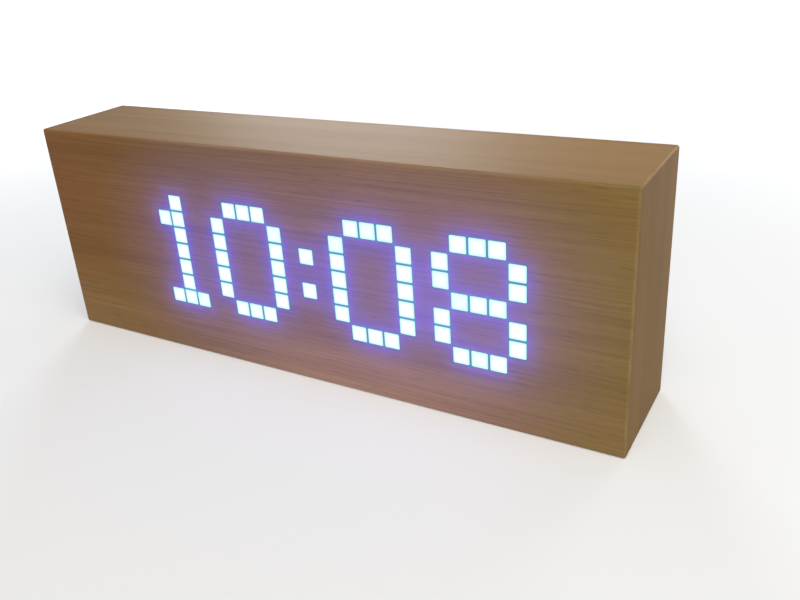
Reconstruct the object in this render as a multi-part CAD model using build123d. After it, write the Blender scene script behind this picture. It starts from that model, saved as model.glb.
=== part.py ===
from build123d import *
from math import atan, degrees, radians, tan
import os

# LED message clock: a veneered block whose pixel display shines through the front veneer.
# Millimetres. X runs to the right as seen from the front, Y towards the rear, Z up.
# The origin is the middle of the footprint, on the surface that the clock stands on.

# Pixel display
PIXEL_PITCH = 6.0
PIXEL_ROWS = 7
CHARACTERS = 5
CHARACTER_COLUMNS = 5
CELL_RIB = 0.6
CELL_BACK = 3.6
GRID_RIM = 2.4
GRID_GAP = 0.3
PEG_DIAMETER = 1.5
PEG_PROUD = 0.5
FILM = 0.5
LED_LENGTH = 2.0
LED_WIDTH = 1.25
LED_HEIGHT = 0.9
DISPLAY_LAP = 6.0
DRIVER_CHIPS = 4
DRIVER_PITCH = 38.0
DRIVER_LENGTH = 10.0
DRIVER_WIDTH = 4.0
DRIVER_HEIGHT = 1.6
DRIVER_PIN_COUNT = 16

# Wooden case
SIDE_MARGIN = 23.0
TOP_MARGIN = 19.0
CASE_DEPTH = 40.0
EDGE_RADIUS = 0.8
BOARD = 6.0
VENEER = 0.6
FRONT_BOARD = 5.0
REAR_COVER = 5.0
REAR_RECESS = 1.5
COVER_GAP = 0.4
COVER_CHAMFER = 0.5
BLOCK = 10.0
BLOCK_LENGTH = 14.0
COVER_SCREW = 3.0
COVER_SCREW_HEAD = 5.8
COVER_SCREW_LENGTH = 14.0

# Circuit boards
CIRCUIT_BOARD = 1.6
BOARD_EDGE = 9.0
BOARD_HEIGHT = 46.0
BOARD_CORNER = 1.5
BOARD_SCREW = 2.2
BOARD_SCREW_HEAD = 4.4
BOARD_SCREW_HEAD_HEIGHT = 1.6
BOARD_SCREW_BITE = 3.5
SCREW_INSET = 3.5
STANDOFF = 5.0
SCREW_PLAY = 0.1
CONNECTOR_LENGTH = 15.2
CONNECTOR_WIDTH = 5.0
CONNECTOR_HEIGHT = 4.0
CONNECTOR_EASE = 0.4
NOTCH_WIDTH = 1.2
NOTCH_FLOOR = 1.0
CABLE_WIDTH = 12.7
CABLE_THICKNESS = 0.9
CABLE_LEAD_OUT = 8.0
CABLE_INSET = 9.0
CABLE_DROP = 7.0
LEG_REACH = 1.7
LEG_FOOT = 0.75
LEG_WIDTH = 0.4
LEG_THICKNESS = 0.2

# Pieces on the main board
CONTROLLER_LENGTH = 18.0
CONTROLLER_WIDTH = 7.5
CONTROLLER_HEIGHT = 2.3
CONTROLLER_PIN_COUNT = 28
CONTROLLER_SHIFT = 6.0
CONTROLLER_RISE = 11.0
CRYSTAL_LENGTH = 10.5
CRYSTAL_WIDTH = 4.0
CRYSTAL_HEIGHT = 3.5
CRYSTAL_LIP = 0.4
CRYSTAL_FLANGE = 0.5
COIN_DIAMETER = 12.5
COIN_HEIGHT = 2.0
COIN_STEP = 0.3
COIN_GAP = 0.15
COIN_SHIFT = 20.0
COIN_RISE = 9.0
HOLDER_WALL = 1.1
HOLDER_FLOOR = 0.8
HOLDER_RIM = 0.2
HOLDER_TAB = 1.5
HOLDER_CORNER = 2.0
BUZZER_DIAMETER = 12.0
BUZZER_HEIGHT = 6.5
BUZZER_EASE = 0.4
SOUND_HOLE = 2.0
BUZZER_SHIFT = 20.0
BUZZER_DROP = 10.0

# Push buttons
BUTTONS = ("mode", "set", "up", "down")
BUTTON_PITCH = 15.0
BUTTON_RISE = 10.0
BUTTON_DIAMETER = 7.0
BUTTON_PLAY = 0.2
BUTTON_PROUD = 1.2
BUTTON_FLANGE = 1.0
BUTTON_FLANGE_DIAMETER = 9.4
BUTTON_DISH = 0.35
BUTTON_EASE = 0.5
BUTTON_SKIN = 1.0
PLUNGER_DIAMETER = 3.4
PLUNGER_PLAY = 0.1
PLUNGER_PROUD = 1.5
PLUNGER_SUNK = 1.0
HOUSING = 6.0
HOUSING_HEIGHT = 3.5
HOUSING_EASE = 0.6

# Slide switch
SLIDE_DROP = 12.0
SLIDE_TRAVEL = 3.0
SLIDE_LENGTH = 10.0
SLIDE_WIDTH = 4.6
SLIDE_HEIGHT = 4.0
SLIDE_EASE = 0.3
EAR_LENGTH = 1.6
EAR_WIDTH = 2.4
EAR_THICKNESS = 0.5
KNOB_LENGTH = 3.6
KNOB_WIDTH = 2.6
KNOB_PROUD = 1.2
KNOB_SUNK = 1.5
KNOB_PLAY = 0.3
KNOB_EASE = 0.3
KNOB_GROOVE = 0.4
KNOB_GROOVE_DEPTH = 0.35

# Power jack
JACK_INSET = 12.0
JACK_DROP = 12.0
JACK_KEEP = 8.0
JACK_THREAD = 8.0
JACK_FLANGE = 10.8
JACK_FLANGE_HEIGHT = 1.2
JACK_LENGTH = 14.0
JACK_BORE = 6.3
JACK_BORE_DEPTH = 9.6
JACK_PIN = 2.0
JACK_PIN_SHY = 0.8
JACK_PLAY = 0.2
JACK_EASE = 0.4
JACK_END_EASE = 0.6
NUT_ACROSS = 11.0
NUT_HEIGHT = 2.4
NUT_PLAY = 0.05
TAG_SPREAD = 2.0
TAG_LENGTH = 4.0
TAG_WIDTH = 2.2
TAG_THICKNESS = 0.5

# Battery bay
CELL_COUNT = 3
CELL_DIAMETER = 10.5
CELL_LENGTH = 44.5
CELL_GAP = 0.5
CELL_NUB = 3.8
CELL_NUB_HEIGHT = 0.9
CELL_EASE = 0.6
CRADLE_GAP = 0.15
CRADLE_RISE = 2.5
CONTACT = 0.4
CONTACT_WIDTH = 8.0
PLUS_CONTACT = 1.0
MINUS_CONTACT = 3.0
CONTACT_TAIL = 2.5
TAIL_SHIFT = 2.5
TAIL_WIDTH = 2.0
TAIL_THICKNESS = 0.5
BUMP_DIAMETER = 4.4
LEAF_WIDTH = 6.0
LEAF_GAP = 0.1
LEAF_INSET = 0.3
BAY_INSET = 12.0
TRAY_WALL = 2.6
TRAY_FLOOR = 1.5
TRAY_FLANGE = 1.2
TRAY_LAP = 5.0
TRAY_GAP = 0.3
TRAY_CORNER = 1.5
TRAY_EASE = 0.4
FLANGE_CORNER = 3.0
TRAY_SCREW = 2.0
TRAY_SCREW_HEAD = 3.8
TRAY_SCREW_LENGTH = 5.5
DOOR = 2.4
DOOR_LEDGE = 1.2
DOOR_GAP = 0.25
DOOR_SEAT = 0.2
DOOR_CLEARANCE = 0.3
LUG_DIAMETER = 1.4
LUG_LENGTH = 1.2
LUG_PLAY = 0.1
LATCH_WIDTH = 11.0
LATCH_LENGTH = 9.0
LATCH_SLIT = 0.8
GRIP_COUNT = 3
GRIP_WIDTH = 0.7
GRIP_DEPTH = 0.4
GRIP_PITCH = 1.6
GRIP_INSET = 2.0
GRIP_MARGIN = 1.5
THUMB_RADIUS = 6.0

# Wires inside the case
LEAD_DIAMETER = 1.4
LEAD_CLEARANCE = 0.6
LEAD_PITCH = 4.0
LEAD_LANDING = 4.0
LEAD_EDGE = 1.0
POSITIVE_DIP = 3.0
POSITIVE_SAG = 12.0
POSITIVE_DROP = 14.0
NEGATIVE_SWING = 3.0
NEGATIVE_EDGE = 2.0
NEGATIVE_DROP = 2.0

# Sizes that follow from the ones above
columns = CHARACTERS * (CHARACTER_COLUMNS + 1) - 1
case_width = columns * PIXEL_PITCH + 2 * SIDE_MARGIN
case_height = PIXEL_ROWS * PIXEL_PITCH + 2 * TOP_MARGIN
mid_z = case_height / 2
inner_width = case_width - 2 * BOARD
inner_height = case_height - 2 * BOARD
grid_width = columns * PIXEL_PITCH - CELL_RIB + 2 * GRID_RIM
grid_height = PIXEL_ROWS * PIXEL_PITCH - CELL_RIB + 2 * GRID_RIM
window_width = grid_width + 2 * GRID_GAP
window_height = grid_height + 2 * GRID_GAP
display_width = window_width + 2 * DISPLAY_LAP
display_height = window_height + 2 * DISPLAY_LAP

# Stations along Y, from the front face to the rear rim
front_y = -CASE_DEPTH / 2
veneer_y = front_y + VENEER
film_y = veneer_y + FILM
window_y = veneer_y + FRONT_BOARD
display_y = window_y + CIRCUIT_BOARD
rear_y = CASE_DEPTH / 2
cover_y = rear_y - REAR_RECESS
inside_y = cover_y - REAR_COVER
board_y = inside_y - BUTTON_FLANGE - PLUNGER_PROUD - HOUSING_HEIGHT
board_front_y = board_y - CIRCUIT_BOARD

# Places on the rear, from the left end to the right end as seen from the front
jack_x = JACK_INSET - inner_width / 2
jack_z = mid_z - JACK_DROP
board_width = (len(BUTTONS) - 1) * BUTTON_PITCH + 2 * BOARD_EDGE
board_left = jack_x + JACK_KEEP
board_right = board_left + board_width
board_x = board_left + board_width / 2
button_z = mid_z + BUTTON_RISE
slide_z = mid_z - SLIDE_DROP
cable_x = board_right - CABLE_INSET
cable_z = mid_z + BOARD_HEIGHT / 2 - CONNECTOR_LENGTH / 2 - CABLE_DROP
coin_x = board_x - COIN_SHIFT
coin_z = mid_z + COIN_RISE
controller_z = mid_z - BOARD_HEIGHT / 2 + CONTROLLER_RISE

# Battery bay, hung from the right end
bay_length = CELL_LENGTH + PLUS_CONTACT + MINUS_CONTACT
bay_height = CELL_COUNT * (CELL_DIAMETER + CELL_GAP) + CELL_GAP
tray_length = bay_length + 2 * TRAY_WALL
tray_height = bay_height + 2 * TRAY_WALL
bay_x = inner_width / 2 - BAY_INSET - TRAY_LAP - tray_length / 2
flange_y = cover_y + TRAY_FLANGE
door_y = flange_y - DOOR
cell_y = door_y - DOOR_CLEARANCE - DOOR_SEAT - CELL_DIAMETER / 2
floor_y = cell_y - CELL_DIAMETER / 2 - CRADLE_GAP
door_length = bay_length + 2 * DOOR_LEDGE - 2 * DOOR_GAP
door_height = bay_height + 2 * DOOR_LEDGE - 2 * DOOR_GAP
hinge_x = bay_x + door_length / 2 - DOOR / 2
hinge_y = flange_y - DOOR / 2
tail_y = cell_y - TAIL_SHIFT


def rect(width, height, x=0.0, z=mid_z):
    """Rectangle drawn in X and Z about a centre."""
    return Pos(x, z) * Rectangle(width, height)


def disc(diameter, x, z):
    """Circle drawn in X and Z about a centre."""
    return Pos(x, z) * Circle(diameter / 2)


def plate(sketch, front, back):
    """Solid from y = front to y = back with an outline drawn in X and Z."""
    return Pos(0, back, 0) * extrude(Plane.XZ * sketch, back - front)


def turned(outline, x, y, z):
    """Solid of revolution about Y, from an outline of radius and distance towards the rear."""
    return Pos(x, y, z) * revolve(make_face(outline), Axis.Y)


def corners(width, height, x=0.0, z=mid_z):
    """The four corners of a rectangle in X and Z."""
    return [(x + a * width / 2, z + b * height / 2) for a in (-1, 1) for b in (-1, 1)]


def cross_slot(head, depth):
    """Cross recess to cut from a screw head whose face lies at y = 0."""
    arm = head * 0.62
    width = head * 0.14
    return plate(rect(arm, width, z=0) + rect(width, arm, z=0), -depth, depth)


def countersunk_screw(shank, head, length):
    """Countersunk screw: head face at the origin looking to the rear, shank along -Y."""
    neck = (head - shank) / 2
    outline = Polyline(
        (0, 0),
        (head / 2, 0),
        (shank / 2, -neck),
        (shank / 2, shank / 2 - length),
        (0, -length),
        close=True,
    )
    return turned(outline, 0, 0, 0) - cross_slot(head, neck * 0.7)


def countersunk_hole(shank, head, depth):
    """Cutter for a countersunk screw that passes through a piece of the given depth."""
    hole = shank / 2 + SCREW_PLAY
    outline = Polyline(
        (0, 1),
        (head / 2, 1),
        (head / 2, 0),
        (hole, hole - head / 2),
        (hole, -depth),
        (0, -depth),
        close=True,
    )
    return turned(outline, 0, 0, 0)


def pan_screw(length):
    """Pan-head screw: underside of the head at the origin, shank along -Y."""
    head = BOARD_SCREW_HEAD / 2
    shank = BOARD_SCREW / 2
    outline = Polyline(
        (0, BOARD_SCREW_HEAD_HEIGHT),
        (head * 0.7, BOARD_SCREW_HEAD_HEIGHT),
        (head, BOARD_SCREW_HEAD_HEIGHT * 0.45),
        (head, 0),
        (shank, 0),
        (shank, shank - length),
        (0, -length),
        close=True,
    )
    slot = Pos(0, BOARD_SCREW_HEAD_HEIGHT, 0) * cross_slot(BOARD_SCREW_HEAD, BOARD_SCREW_HEAD_HEIGHT / 2)
    return turned(outline, 0, 0, 0) - slot


def lead(points, diameter=LEAD_DIAMETER):
    """Insulated wire along straight runs joined by arcs as wide as the runs allow."""
    runs = [Vector(*end) - Vector(*start) for start, end in zip(points, points[1:])]
    radii = []
    for before, after in zip(runs, runs[1:]):
        turn = radians(before.get_angle(after))
        radii.append(0.45 * min(before.length, after.length) / tan(turn / 2))
    path = FilletPolyline(*points, radius=radii)
    return sweep(Plane(path @ 0, z_dir=path % 0) * Circle(diameter / 2), path=path)


def chip(length, width, height, pins):
    """Gull-wing chip lying in X and Z on y = 0, its legs along both long sides, towards -Y."""
    body = plate(rect(length, width, z=0), -height, -LEG_THICKNESS * 0.75)
    body = chamfer(body.faces().sort_by(Axis.Y)[0].edges(), height * 0.12)
    thick = LEG_THICKNESS
    heel = LEG_REACH - LEG_FOOT
    leg = Polyline(
        (0, -height / 2 - thick),
        (heel * 0.55, -height / 2 - thick),
        (heel * 1.1, -thick),
        (LEG_REACH, -thick),
        (LEG_REACH, 0),
        (heel, 0),
        (heel * 0.4, -height / 2),
        (0, -height / 2),
        close=True,
    )
    start = Plane(origin=(LEG_WIDTH / 2, 0, width / 2), x_dir=(0, 0, 1), z_dir=(-1, 0, 0))
    one = extrude(start * make_face(leg), LEG_WIDTH)
    pitch = length / (pins // 2)
    for row in range(pins // 2):
        place = Pos((row + 0.5) * pitch - length / 2, 0, 0) * one
        body = body + [place, place.mirror(Plane.XY)]
    return body


def outer_form():
    """The whole block, its twelve edges eased."""
    block = Pos(0, 0, mid_z) * Box(case_width, CASE_DEPTH, case_height)
    return fillet(block.edges(), EDGE_RADIUS)


def mitred_board(long_start, long_end, short_end, short_start):
    """One board of the box: a trapezium seen from the front, eased where the block is eased."""
    outline = make_face(Polyline(long_start, long_end, short_end, short_start, close=True))
    return plate(outline, veneer_y, rear_y) & outer_form()


def top_board():
    half = case_width / 2
    inner = half - BOARD
    low = case_height - BOARD
    return mitred_board((-half, case_height), (half, case_height), (inner, low), (-inner, low))


def bottom_board():
    half = case_width / 2
    inner = half - BOARD
    return mitred_board((-half, 0), (half, 0), (inner, BOARD), (-inner, BOARD))


def left_end_board():
    half = case_width / 2
    inner = half - BOARD
    top = case_height - BOARD
    return mitred_board((-half, 0), (-half, case_height), (-inner, top), (-inner, BOARD))


def right_end_board():
    return left_end_board().mirror(Plane.YZ)


def front_veneer():
    """Thin skin over the whole front."""
    return plate(rect(case_width, case_height), front_y, veneer_y) & outer_form()


def display_screw_places():
    """Six screws in the lap of the display board: three above the window and three below."""
    across = display_width / 2 - DISPLAY_LAP / 2
    up = display_height / 2 - DISPLAY_LAP / 2
    return [(x, mid_z + z) for x in (-across, 0, across) for z in (-up, up)]


def front_board():
    """Board behind the veneer with the display window and blind pilot holes from the rear."""
    sheet = rect(inner_width, inner_height) - rect(window_width, window_height)
    board = plate(sheet, veneer_y, window_y)
    pilot = BOARD_SCREW + 2 * SCREW_PLAY
    depth = BOARD_SCREW_BITE + 2 * SCREW_PLAY
    return board - [plate(disc(pilot, x, z), window_y - depth, window_y) for x, z in display_screw_places()]


def cover_screw_places():
    return corners(inner_width - BLOCK, inner_height - BLOCK)


def corner_blocks():
    """Glue blocks in the four corners, with the pilot holes of the cover screws."""
    blocks = []
    pilot = COVER_SCREW + 2 * SCREW_PLAY
    for x, z in cover_screw_places():
        block = plate(rect(BLOCK, BLOCK, x, z), inside_y - BLOCK_LENGTH, inside_y)
        upright = block.edges().filter_by(Axis.Y)
        inner_edge = upright.sort_by(lambda edge: abs(edge.center().X) + abs(edge.center().Z - mid_z))[0]
        block = chamfer(inner_edge, BLOCK * 0.3)
        blocks.append(block - plate(disc(pilot, x, z), cover_y - COVER_SCREW_LENGTH - 1, inside_y))
    return Compound(blocks)


def cover_screws():
    screw = countersunk_screw(COVER_SCREW, COVER_SCREW_HEAD, COVER_SCREW_LENGTH)
    return Compound([Pos(x, cover_y, z) * screw for x, z in cover_screw_places()])


def standoff_places():
    return corners(board_width - 2 * SCREW_INSET, BOARD_HEIGHT - 2 * SCREW_INSET, board_x)


def tray_screw_places():
    return corners(tray_length + TRAY_LAP, tray_height + TRAY_LAP, bay_x)


def button_places():
    """Button names with their places, from the left as seen from the front."""
    return [(name, board_left + BOARD_EDGE + i * BUTTON_PITCH) for i, name in enumerate(BUTTONS)]


def rear_cover():
    """Rear panel with the holes of the buttons, slide switch, power jack, battery tray and screws."""
    cover = plate(rect(inner_width - 2 * COVER_GAP, inner_height - 2 * COVER_GAP), inside_y, cover_y)
    cover = chamfer(cover.faces().sort_by(Axis.Y)[-1].edges(), COVER_CHAMFER)
    holes = rect(tray_length + 2 * TRAY_GAP, tray_height + 2 * TRAY_GAP, bay_x)
    holes += disc(JACK_THREAD + 2 * JACK_PLAY, jack_x, jack_z)
    for name, x in button_places():
        holes += disc(BUTTON_DIAMETER + 2 * BUTTON_PLAY, x, button_z)
    slot_length = KNOB_LENGTH + SLIDE_TRAVEL + 2 * KNOB_PLAY
    holes += rect(slot_length, KNOB_WIDTH + 2 * KNOB_PLAY, board_x, slide_z)
    for x, z in tray_screw_places():
        holes += disc(TRAY_SCREW + 2 * SCREW_PLAY, x, z)
    cover -= plate(holes, inside_y - 1, cover_y + 1)
    countersink = countersunk_hole(COVER_SCREW, COVER_SCREW_HEAD, REAR_COVER + 1)
    cover -= [Pos(x, cover_y, z) * countersink for x, z in cover_screw_places()]
    bite = BOARD_SCREW_BITE + 2 * SCREW_PLAY
    pilot = BOARD_SCREW + 2 * SCREW_PLAY
    return cover - [plate(disc(pilot, x, z), inside_y, inside_y + bite) for x, z in standoff_places()]


def pixel_places():
    """Centres of all pixels, row by row from the top left."""
    places = []
    for row in range(PIXEL_ROWS):
        for column in range(columns):
            x = (column - (columns - 1) / 2) * PIXEL_PITCH
            z = mid_z + ((PIXEL_ROWS - 1) / 2 - row) * PIXEL_PITCH
            places.append((x, z))
    return places


def light_cell():
    """The hollow of one cell: flat walls that taper from the mouth behind the film to the LED."""
    mouth = PIXEL_PITCH - CELL_RIB
    depth = window_y - film_y
    taper = degrees(atan((mouth - CELL_BACK) / 2 / depth))
    start = Plane((0, film_y, 0), x_dir=(1, 0, 0), z_dir=(0, 1, 0)) * Rectangle(mouth, mouth)
    return extrude(start, depth, taper=taper)


def peg_places():
    return corners(grid_width - GRID_RIM, grid_height - GRID_RIM)


def reflector_grid():
    """Moulded light grid: one tapered cell for each pixel, and four pegs into the display board."""
    grid = plate(rect(grid_width, grid_height), film_y, window_y)
    cell = light_cell()
    grid -= [Pos(x, 0, z) * cell for x, z in pixel_places()]
    return grid + [plate(disc(PEG_DIAMETER, x, z), window_y, display_y + PEG_PROUD) for x, z in peg_places()]


def diffuser_film():
    """Milky film over the mouths of the cells, right behind the veneer."""
    return plate(rect(grid_width, grid_height), veneer_y, film_y)


def pixel_leds():
    """One LED on the display board at the back of each cell."""
    led = plate(rect(LED_LENGTH, LED_WIDTH, z=0), window_y - LED_HEIGHT, window_y)
    return Compound([Pos(x, 0, z) * led for x, z in pixel_places()])


def display_board():
    sheet = rect(display_width, display_height)
    for x, z in display_screw_places():
        sheet -= disc(BOARD_SCREW + 2 * SCREW_PLAY, x, z)
    for x, z in peg_places():
        sheet -= disc(PEG_DIAMETER + 2 * SCREW_PLAY, x, z)
    return plate(sheet, window_y, display_y)


def display_board_screws():
    screw = pan_screw(CIRCUIT_BOARD + BOARD_SCREW_BITE)
    return Compound([Pos(x, display_y, z) * screw for x, z in display_screw_places()])


def driver_chips():
    """Row and column drivers on the rear of the display board."""
    one = Rot(0, 0, 180) * chip(DRIVER_LENGTH, DRIVER_WIDTH, DRIVER_HEIGHT, DRIVER_PIN_COUNT)
    first = -(DRIVER_CHIPS - 1) / 2
    low = mid_z - PIXEL_PITCH * PIXEL_ROWS / 4
    return Compound([Pos((first + i) * DRIVER_PITCH, display_y, low) * one for i in range(DRIVER_CHIPS)])


def connector():
    """Cable connector standing on y = 0 towards -Y, with a keying notch."""
    body = plate(rect(CONNECTOR_WIDTH, CONNECTOR_LENGTH, z=0), -CONNECTOR_HEIGHT, 0)
    body = chamfer(body.faces().sort_by(Axis.Y)[0].edges(), CONNECTOR_EASE)
    notch = rect(NOTCH_WIDTH, CONNECTOR_LENGTH * 0.3, -CONNECTOR_WIDTH / 2, 0)
    return body - plate(notch, -CONNECTOR_HEIGHT, -NOTCH_FLOOR)


def display_connector():
    return Pos(cable_x, display_y, cable_z) * Rot(0, 180, 180) * connector()


def main_connector():
    return Pos(cable_x, board_front_y, cable_z) * connector()


def ribbon_cable():
    """Flat cable that leaves both connectors sideways and turns back in one half circle."""
    low = display_y + CONNECTOR_HEIGHT / 2
    high = board_front_y - CONNECTOR_HEIGHT / 2
    start = cable_x + CONNECTOR_WIDTH / 2
    bend_x = start + CABLE_LEAD_OUT
    bend = (high - low) / 2
    ring = Circle(bend + CABLE_THICKNESS / 2) - Circle(bend - CABLE_THICKNESS / 2)
    half = ring & Pos(bend, 0) * Rectangle(2 * bend, 3 * bend)
    run = Rectangle(CABLE_LEAD_OUT, CABLE_THICKNESS, align=(Align.MAX, Align.CENTER))
    profile = Pos(bend_x, (low + high) / 2) * (half + Pos(0, bend) * run + Pos(0, -bend) * run)
    return extrude(Pos(0, 0, cable_z - CABLE_WIDTH / 2) * profile, CABLE_WIDTH)


def main_board():
    sheet = Pos(board_x, mid_z) * RectangleRounded(board_width, BOARD_HEIGHT, BOARD_CORNER)
    for x, z in standoff_places():
        sheet -= disc(BOARD_SCREW + 2 * SCREW_PLAY, x, z)
    return plate(sheet, board_front_y, board_y)


def board_standoffs():
    """Tubes that hold the main board off the rear cover."""
    tubes = []
    for x, z in standoff_places():
        ring = disc(STANDOFF, x, z) - disc(BOARD_SCREW + 2 * SCREW_PLAY, x, z)
        tubes.append(plate(ring, board_y, inside_y))
    return Compound(tubes)


def main_board_screws():
    length = CIRCUIT_BOARD + inside_y - board_y + BOARD_SCREW_BITE
    screw = Rot(0, 0, 180) * pan_screw(length)
    return Compound([Pos(x, board_front_y, z) * screw for x, z in standoff_places()])


def microcontroller():
    place = Pos(board_x - CONTROLLER_SHIFT, board_front_y, controller_z)
    return place * chip(CONTROLLER_LENGTH, CONTROLLER_WIDTH, CONTROLLER_HEIGHT, CONTROLLER_PIN_COUNT)


def clock_crystal():
    """Low metal can with a base flange."""
    can = plate(SlotOverall(CRYSTAL_LENGTH, CRYSTAL_WIDTH), -CRYSTAL_HEIGHT, -CRYSTAL_FLANGE)
    base = SlotOverall(CRYSTAL_LENGTH + 2 * CRYSTAL_LIP, CRYSTAL_WIDTH + 2 * CRYSTAL_LIP)
    can += plate(base, -CRYSTAL_FLANGE, 0)
    return Pos(board_x - CONTROLLER_SHIFT, board_front_y, mid_z) * can


def backup_cell_holder():
    """Open cup for the coin cell, with two solder tabs."""
    well = COIN_DIAMETER / 2 + COIN_GAP
    side = 2 * (well + HOLDER_WALL)
    top = HOLDER_FLOOR + COIN_HEIGHT + HOLDER_RIM
    cup = plate(RectangleRounded(side, side, HOLDER_CORNER), -top, 0)
    cup -= plate(Circle(well), -top, -HOLDER_FLOOR)
    out = (side + HOLDER_TAB) / 2
    tabs = [plate(rect(HOLDER_TAB, 2 * HOLDER_TAB, end * out, 0), -HOLDER_FLOOR / 2, 0) for end in (-1, 1)]
    return Pos(coin_x, board_front_y, coin_z) * (cup + tabs)


def backup_cell():
    """Coin cell: a stepped cap on a wider can."""
    radius = COIN_DIAMETER / 2
    floor = -HOLDER_FLOOR
    can = floor - COIN_STEP
    top = floor - COIN_HEIGHT
    cap = radius - 2.5 * COIN_STEP
    outline = Polyline(
        (0, floor),
        (cap - COIN_STEP, floor),
        (cap, can),
        (radius, can),
        (radius, top),
        (0, top),
        close=True,
    )
    return turned(outline, coin_x, board_front_y, coin_z)


def alarm_buzzer():
    """Round buzzer with its sound hole."""
    radius = BUZZER_DIAMETER / 2
    hole = SOUND_HOLE / 2
    inside = -BUZZER_HEIGHT * 0.77
    outline = Polyline(
        (0, 0),
        (radius, 0),
        (radius, BUZZER_EASE - BUZZER_HEIGHT),
        (radius - BUZZER_EASE, -BUZZER_HEIGHT),
        (hole, -BUZZER_HEIGHT),
        (hole, inside),
        (0, inside),
        close=True,
    )
    return turned(outline, board_x + BUZZER_SHIFT, board_front_y, mid_z - BUZZER_DROP)


def button_housings():
    """Push-switch housings on the main board, each with the well of its plunger."""
    housings = []
    for name, x in button_places():
        case = plate(rect(HOUSING, HOUSING, x, button_z), board_y, board_y + HOUSING_HEIGHT)
        case = chamfer(case.edges().filter_by(Axis.Y), HOUSING_EASE)
        well = disc(PLUNGER_DIAMETER + 2 * PLUNGER_PLAY, x, button_z)
        top = board_y + HOUSING_HEIGHT
        housings.append(case - plate(well, top - 2 * PLUNGER_SUNK, top))
    return Compound(housings)


def button_cap(x):
    """Moulded cap: a dished face on a round stem, with a flange behind the rear cover."""
    flange = BUTTON_FLANGE_DIAMETER / 2
    stem = BUTTON_DIAMETER / 2
    top = BUTTON_FLANGE + REAR_COVER + BUTTON_PROUD
    post = PLUNGER_DIAMETER * 0.6
    skin = stem - BUTTON_SKIN
    hollow = top * 0.6
    ease = BUTTON_EASE
    sides = Polyline(
        (0, top - BUTTON_DISH),
        (0, 0),
        (post, 0),
        (post, hollow),
        (skin, hollow),
        (skin, 0),
        (flange, 0),
        (flange, BUTTON_FLANGE),
        (stem, BUTTON_FLANGE),
        (stem, top - ease),
    )
    round_edge = RadiusArc(sides @ 1, (stem - ease, top), -ease)
    dish = TangentArc(sides @ 0, round_edge @ 1, tangent=(1, 0))
    return turned(sides + round_edge + dish, x, inside_y - BUTTON_FLANGE, button_z)


def button_plunger(x):
    """Plunger of one push switch, from its well up to the cap."""
    foot = board_y + HOUSING_HEIGHT - PLUNGER_SUNK
    return plate(disc(PLUNGER_DIAMETER, x, button_z), foot, inside_y - BUTTON_FLANGE)


def slide_switch_body():
    """Switch body on the main board, with a slot for the knob and two bent-over ears."""
    top = board_y + SLIDE_HEIGHT
    body = plate(rect(SLIDE_LENGTH, SLIDE_WIDTH, board_x, slide_z), board_y, top)
    body = chamfer(body.faces().sort_by(Axis.Y)[-1].edges(), SLIDE_EASE)
    slot = rect(KNOB_LENGTH + SLIDE_TRAVEL + 2 * KNOB_PLAY, KNOB_WIDTH + 2 * KNOB_PLAY, board_x, slide_z)
    out = (SLIDE_LENGTH + EAR_LENGTH) / 2
    ears = [
        plate(rect(EAR_LENGTH, EAR_WIDTH, board_x + side * out, slide_z), board_y, board_y + EAR_THICKNESS)
        for side in (-1, 1)
    ]
    return body - plate(slot, top - KNOB_SUNK - KNOB_PLAY, top) + ears


def slide_switch_knob():
    """Knob at the right end of its travel, ribbed on the face for a fingertip."""
    foot = board_y + SLIDE_HEIGHT - KNOB_SUNK
    x = board_x + SLIDE_TRAVEL / 2
    top = cover_y + KNOB_PROUD
    knob = plate(rect(KNOB_LENGTH, KNOB_WIDTH, x, slide_z), foot, top)
    knob = chamfer(knob.faces().sort_by(Axis.Y)[-1].edges(), KNOB_EASE)
    for step in (-1, 0, 1):
        groove = rect(KNOB_GROOVE, KNOB_WIDTH, x + step * KNOB_LENGTH * 0.25, slide_z)
        knob -= plate(groove, top - KNOB_GROOVE_DEPTH, top)
    return knob


def dc_jack_body():
    """Round panel jack: flange outside, thread through the cover, two solder tags inside."""
    flange = JACK_FLANGE / 2
    thread = JACK_THREAD / 2
    bore = JACK_BORE / 2
    outline = Polyline(
        (0, -JACK_LENGTH),
        (thread - JACK_END_EASE, -JACK_LENGTH),
        (thread, JACK_END_EASE - JACK_LENGTH),
        (thread, 0),
        (flange, 0),
        (flange, JACK_FLANGE_HEIGHT - JACK_EASE),
        (flange - JACK_EASE, JACK_FLANGE_HEIGHT),
        (bore, JACK_FLANGE_HEIGHT),
        (bore, JACK_FLANGE_HEIGHT - JACK_BORE_DEPTH),
        (0, JACK_FLANGE_HEIGHT - JACK_BORE_DEPTH),
        close=True,
    )
    body = turned(outline, jack_x, cover_y, jack_z)
    back = cover_y - JACK_LENGTH
    tag = rect(TAG_THICKNESS, TAG_WIDTH, 0, jack_z)
    spread = (-TAG_SPREAD, TAG_SPREAD)
    return body + [Pos(jack_x + side, 0, 0) * plate(tag, back - TAG_LENGTH, back) for side in spread]


def dc_jack_pin():
    """Centre pin with a rounded tip."""
    radius = JACK_PIN / 2
    length = JACK_BORE_DEPTH - JACK_PIN_SHY
    sides = Polyline((0, length), (0, 0), (radius, 0), (radius, length - radius))
    tip = RadiusArc(sides @ 1, sides @ 0, -radius)
    return turned(sides + tip, jack_x, cover_y + JACK_FLANGE_HEIGHT - JACK_BORE_DEPTH, jack_z)


def dc_jack_nut():
    """Hexagon nut that draws the jack against the rear cover."""
    hexagon = RegularPolygon(NUT_ACROSS / 2, 6, major_radius=False) - Circle(JACK_THREAD / 2 + NUT_PLAY)
    return plate(Pos(jack_x, jack_z) * hexagon, inside_y - NUT_HEIGHT, inside_y)


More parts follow.
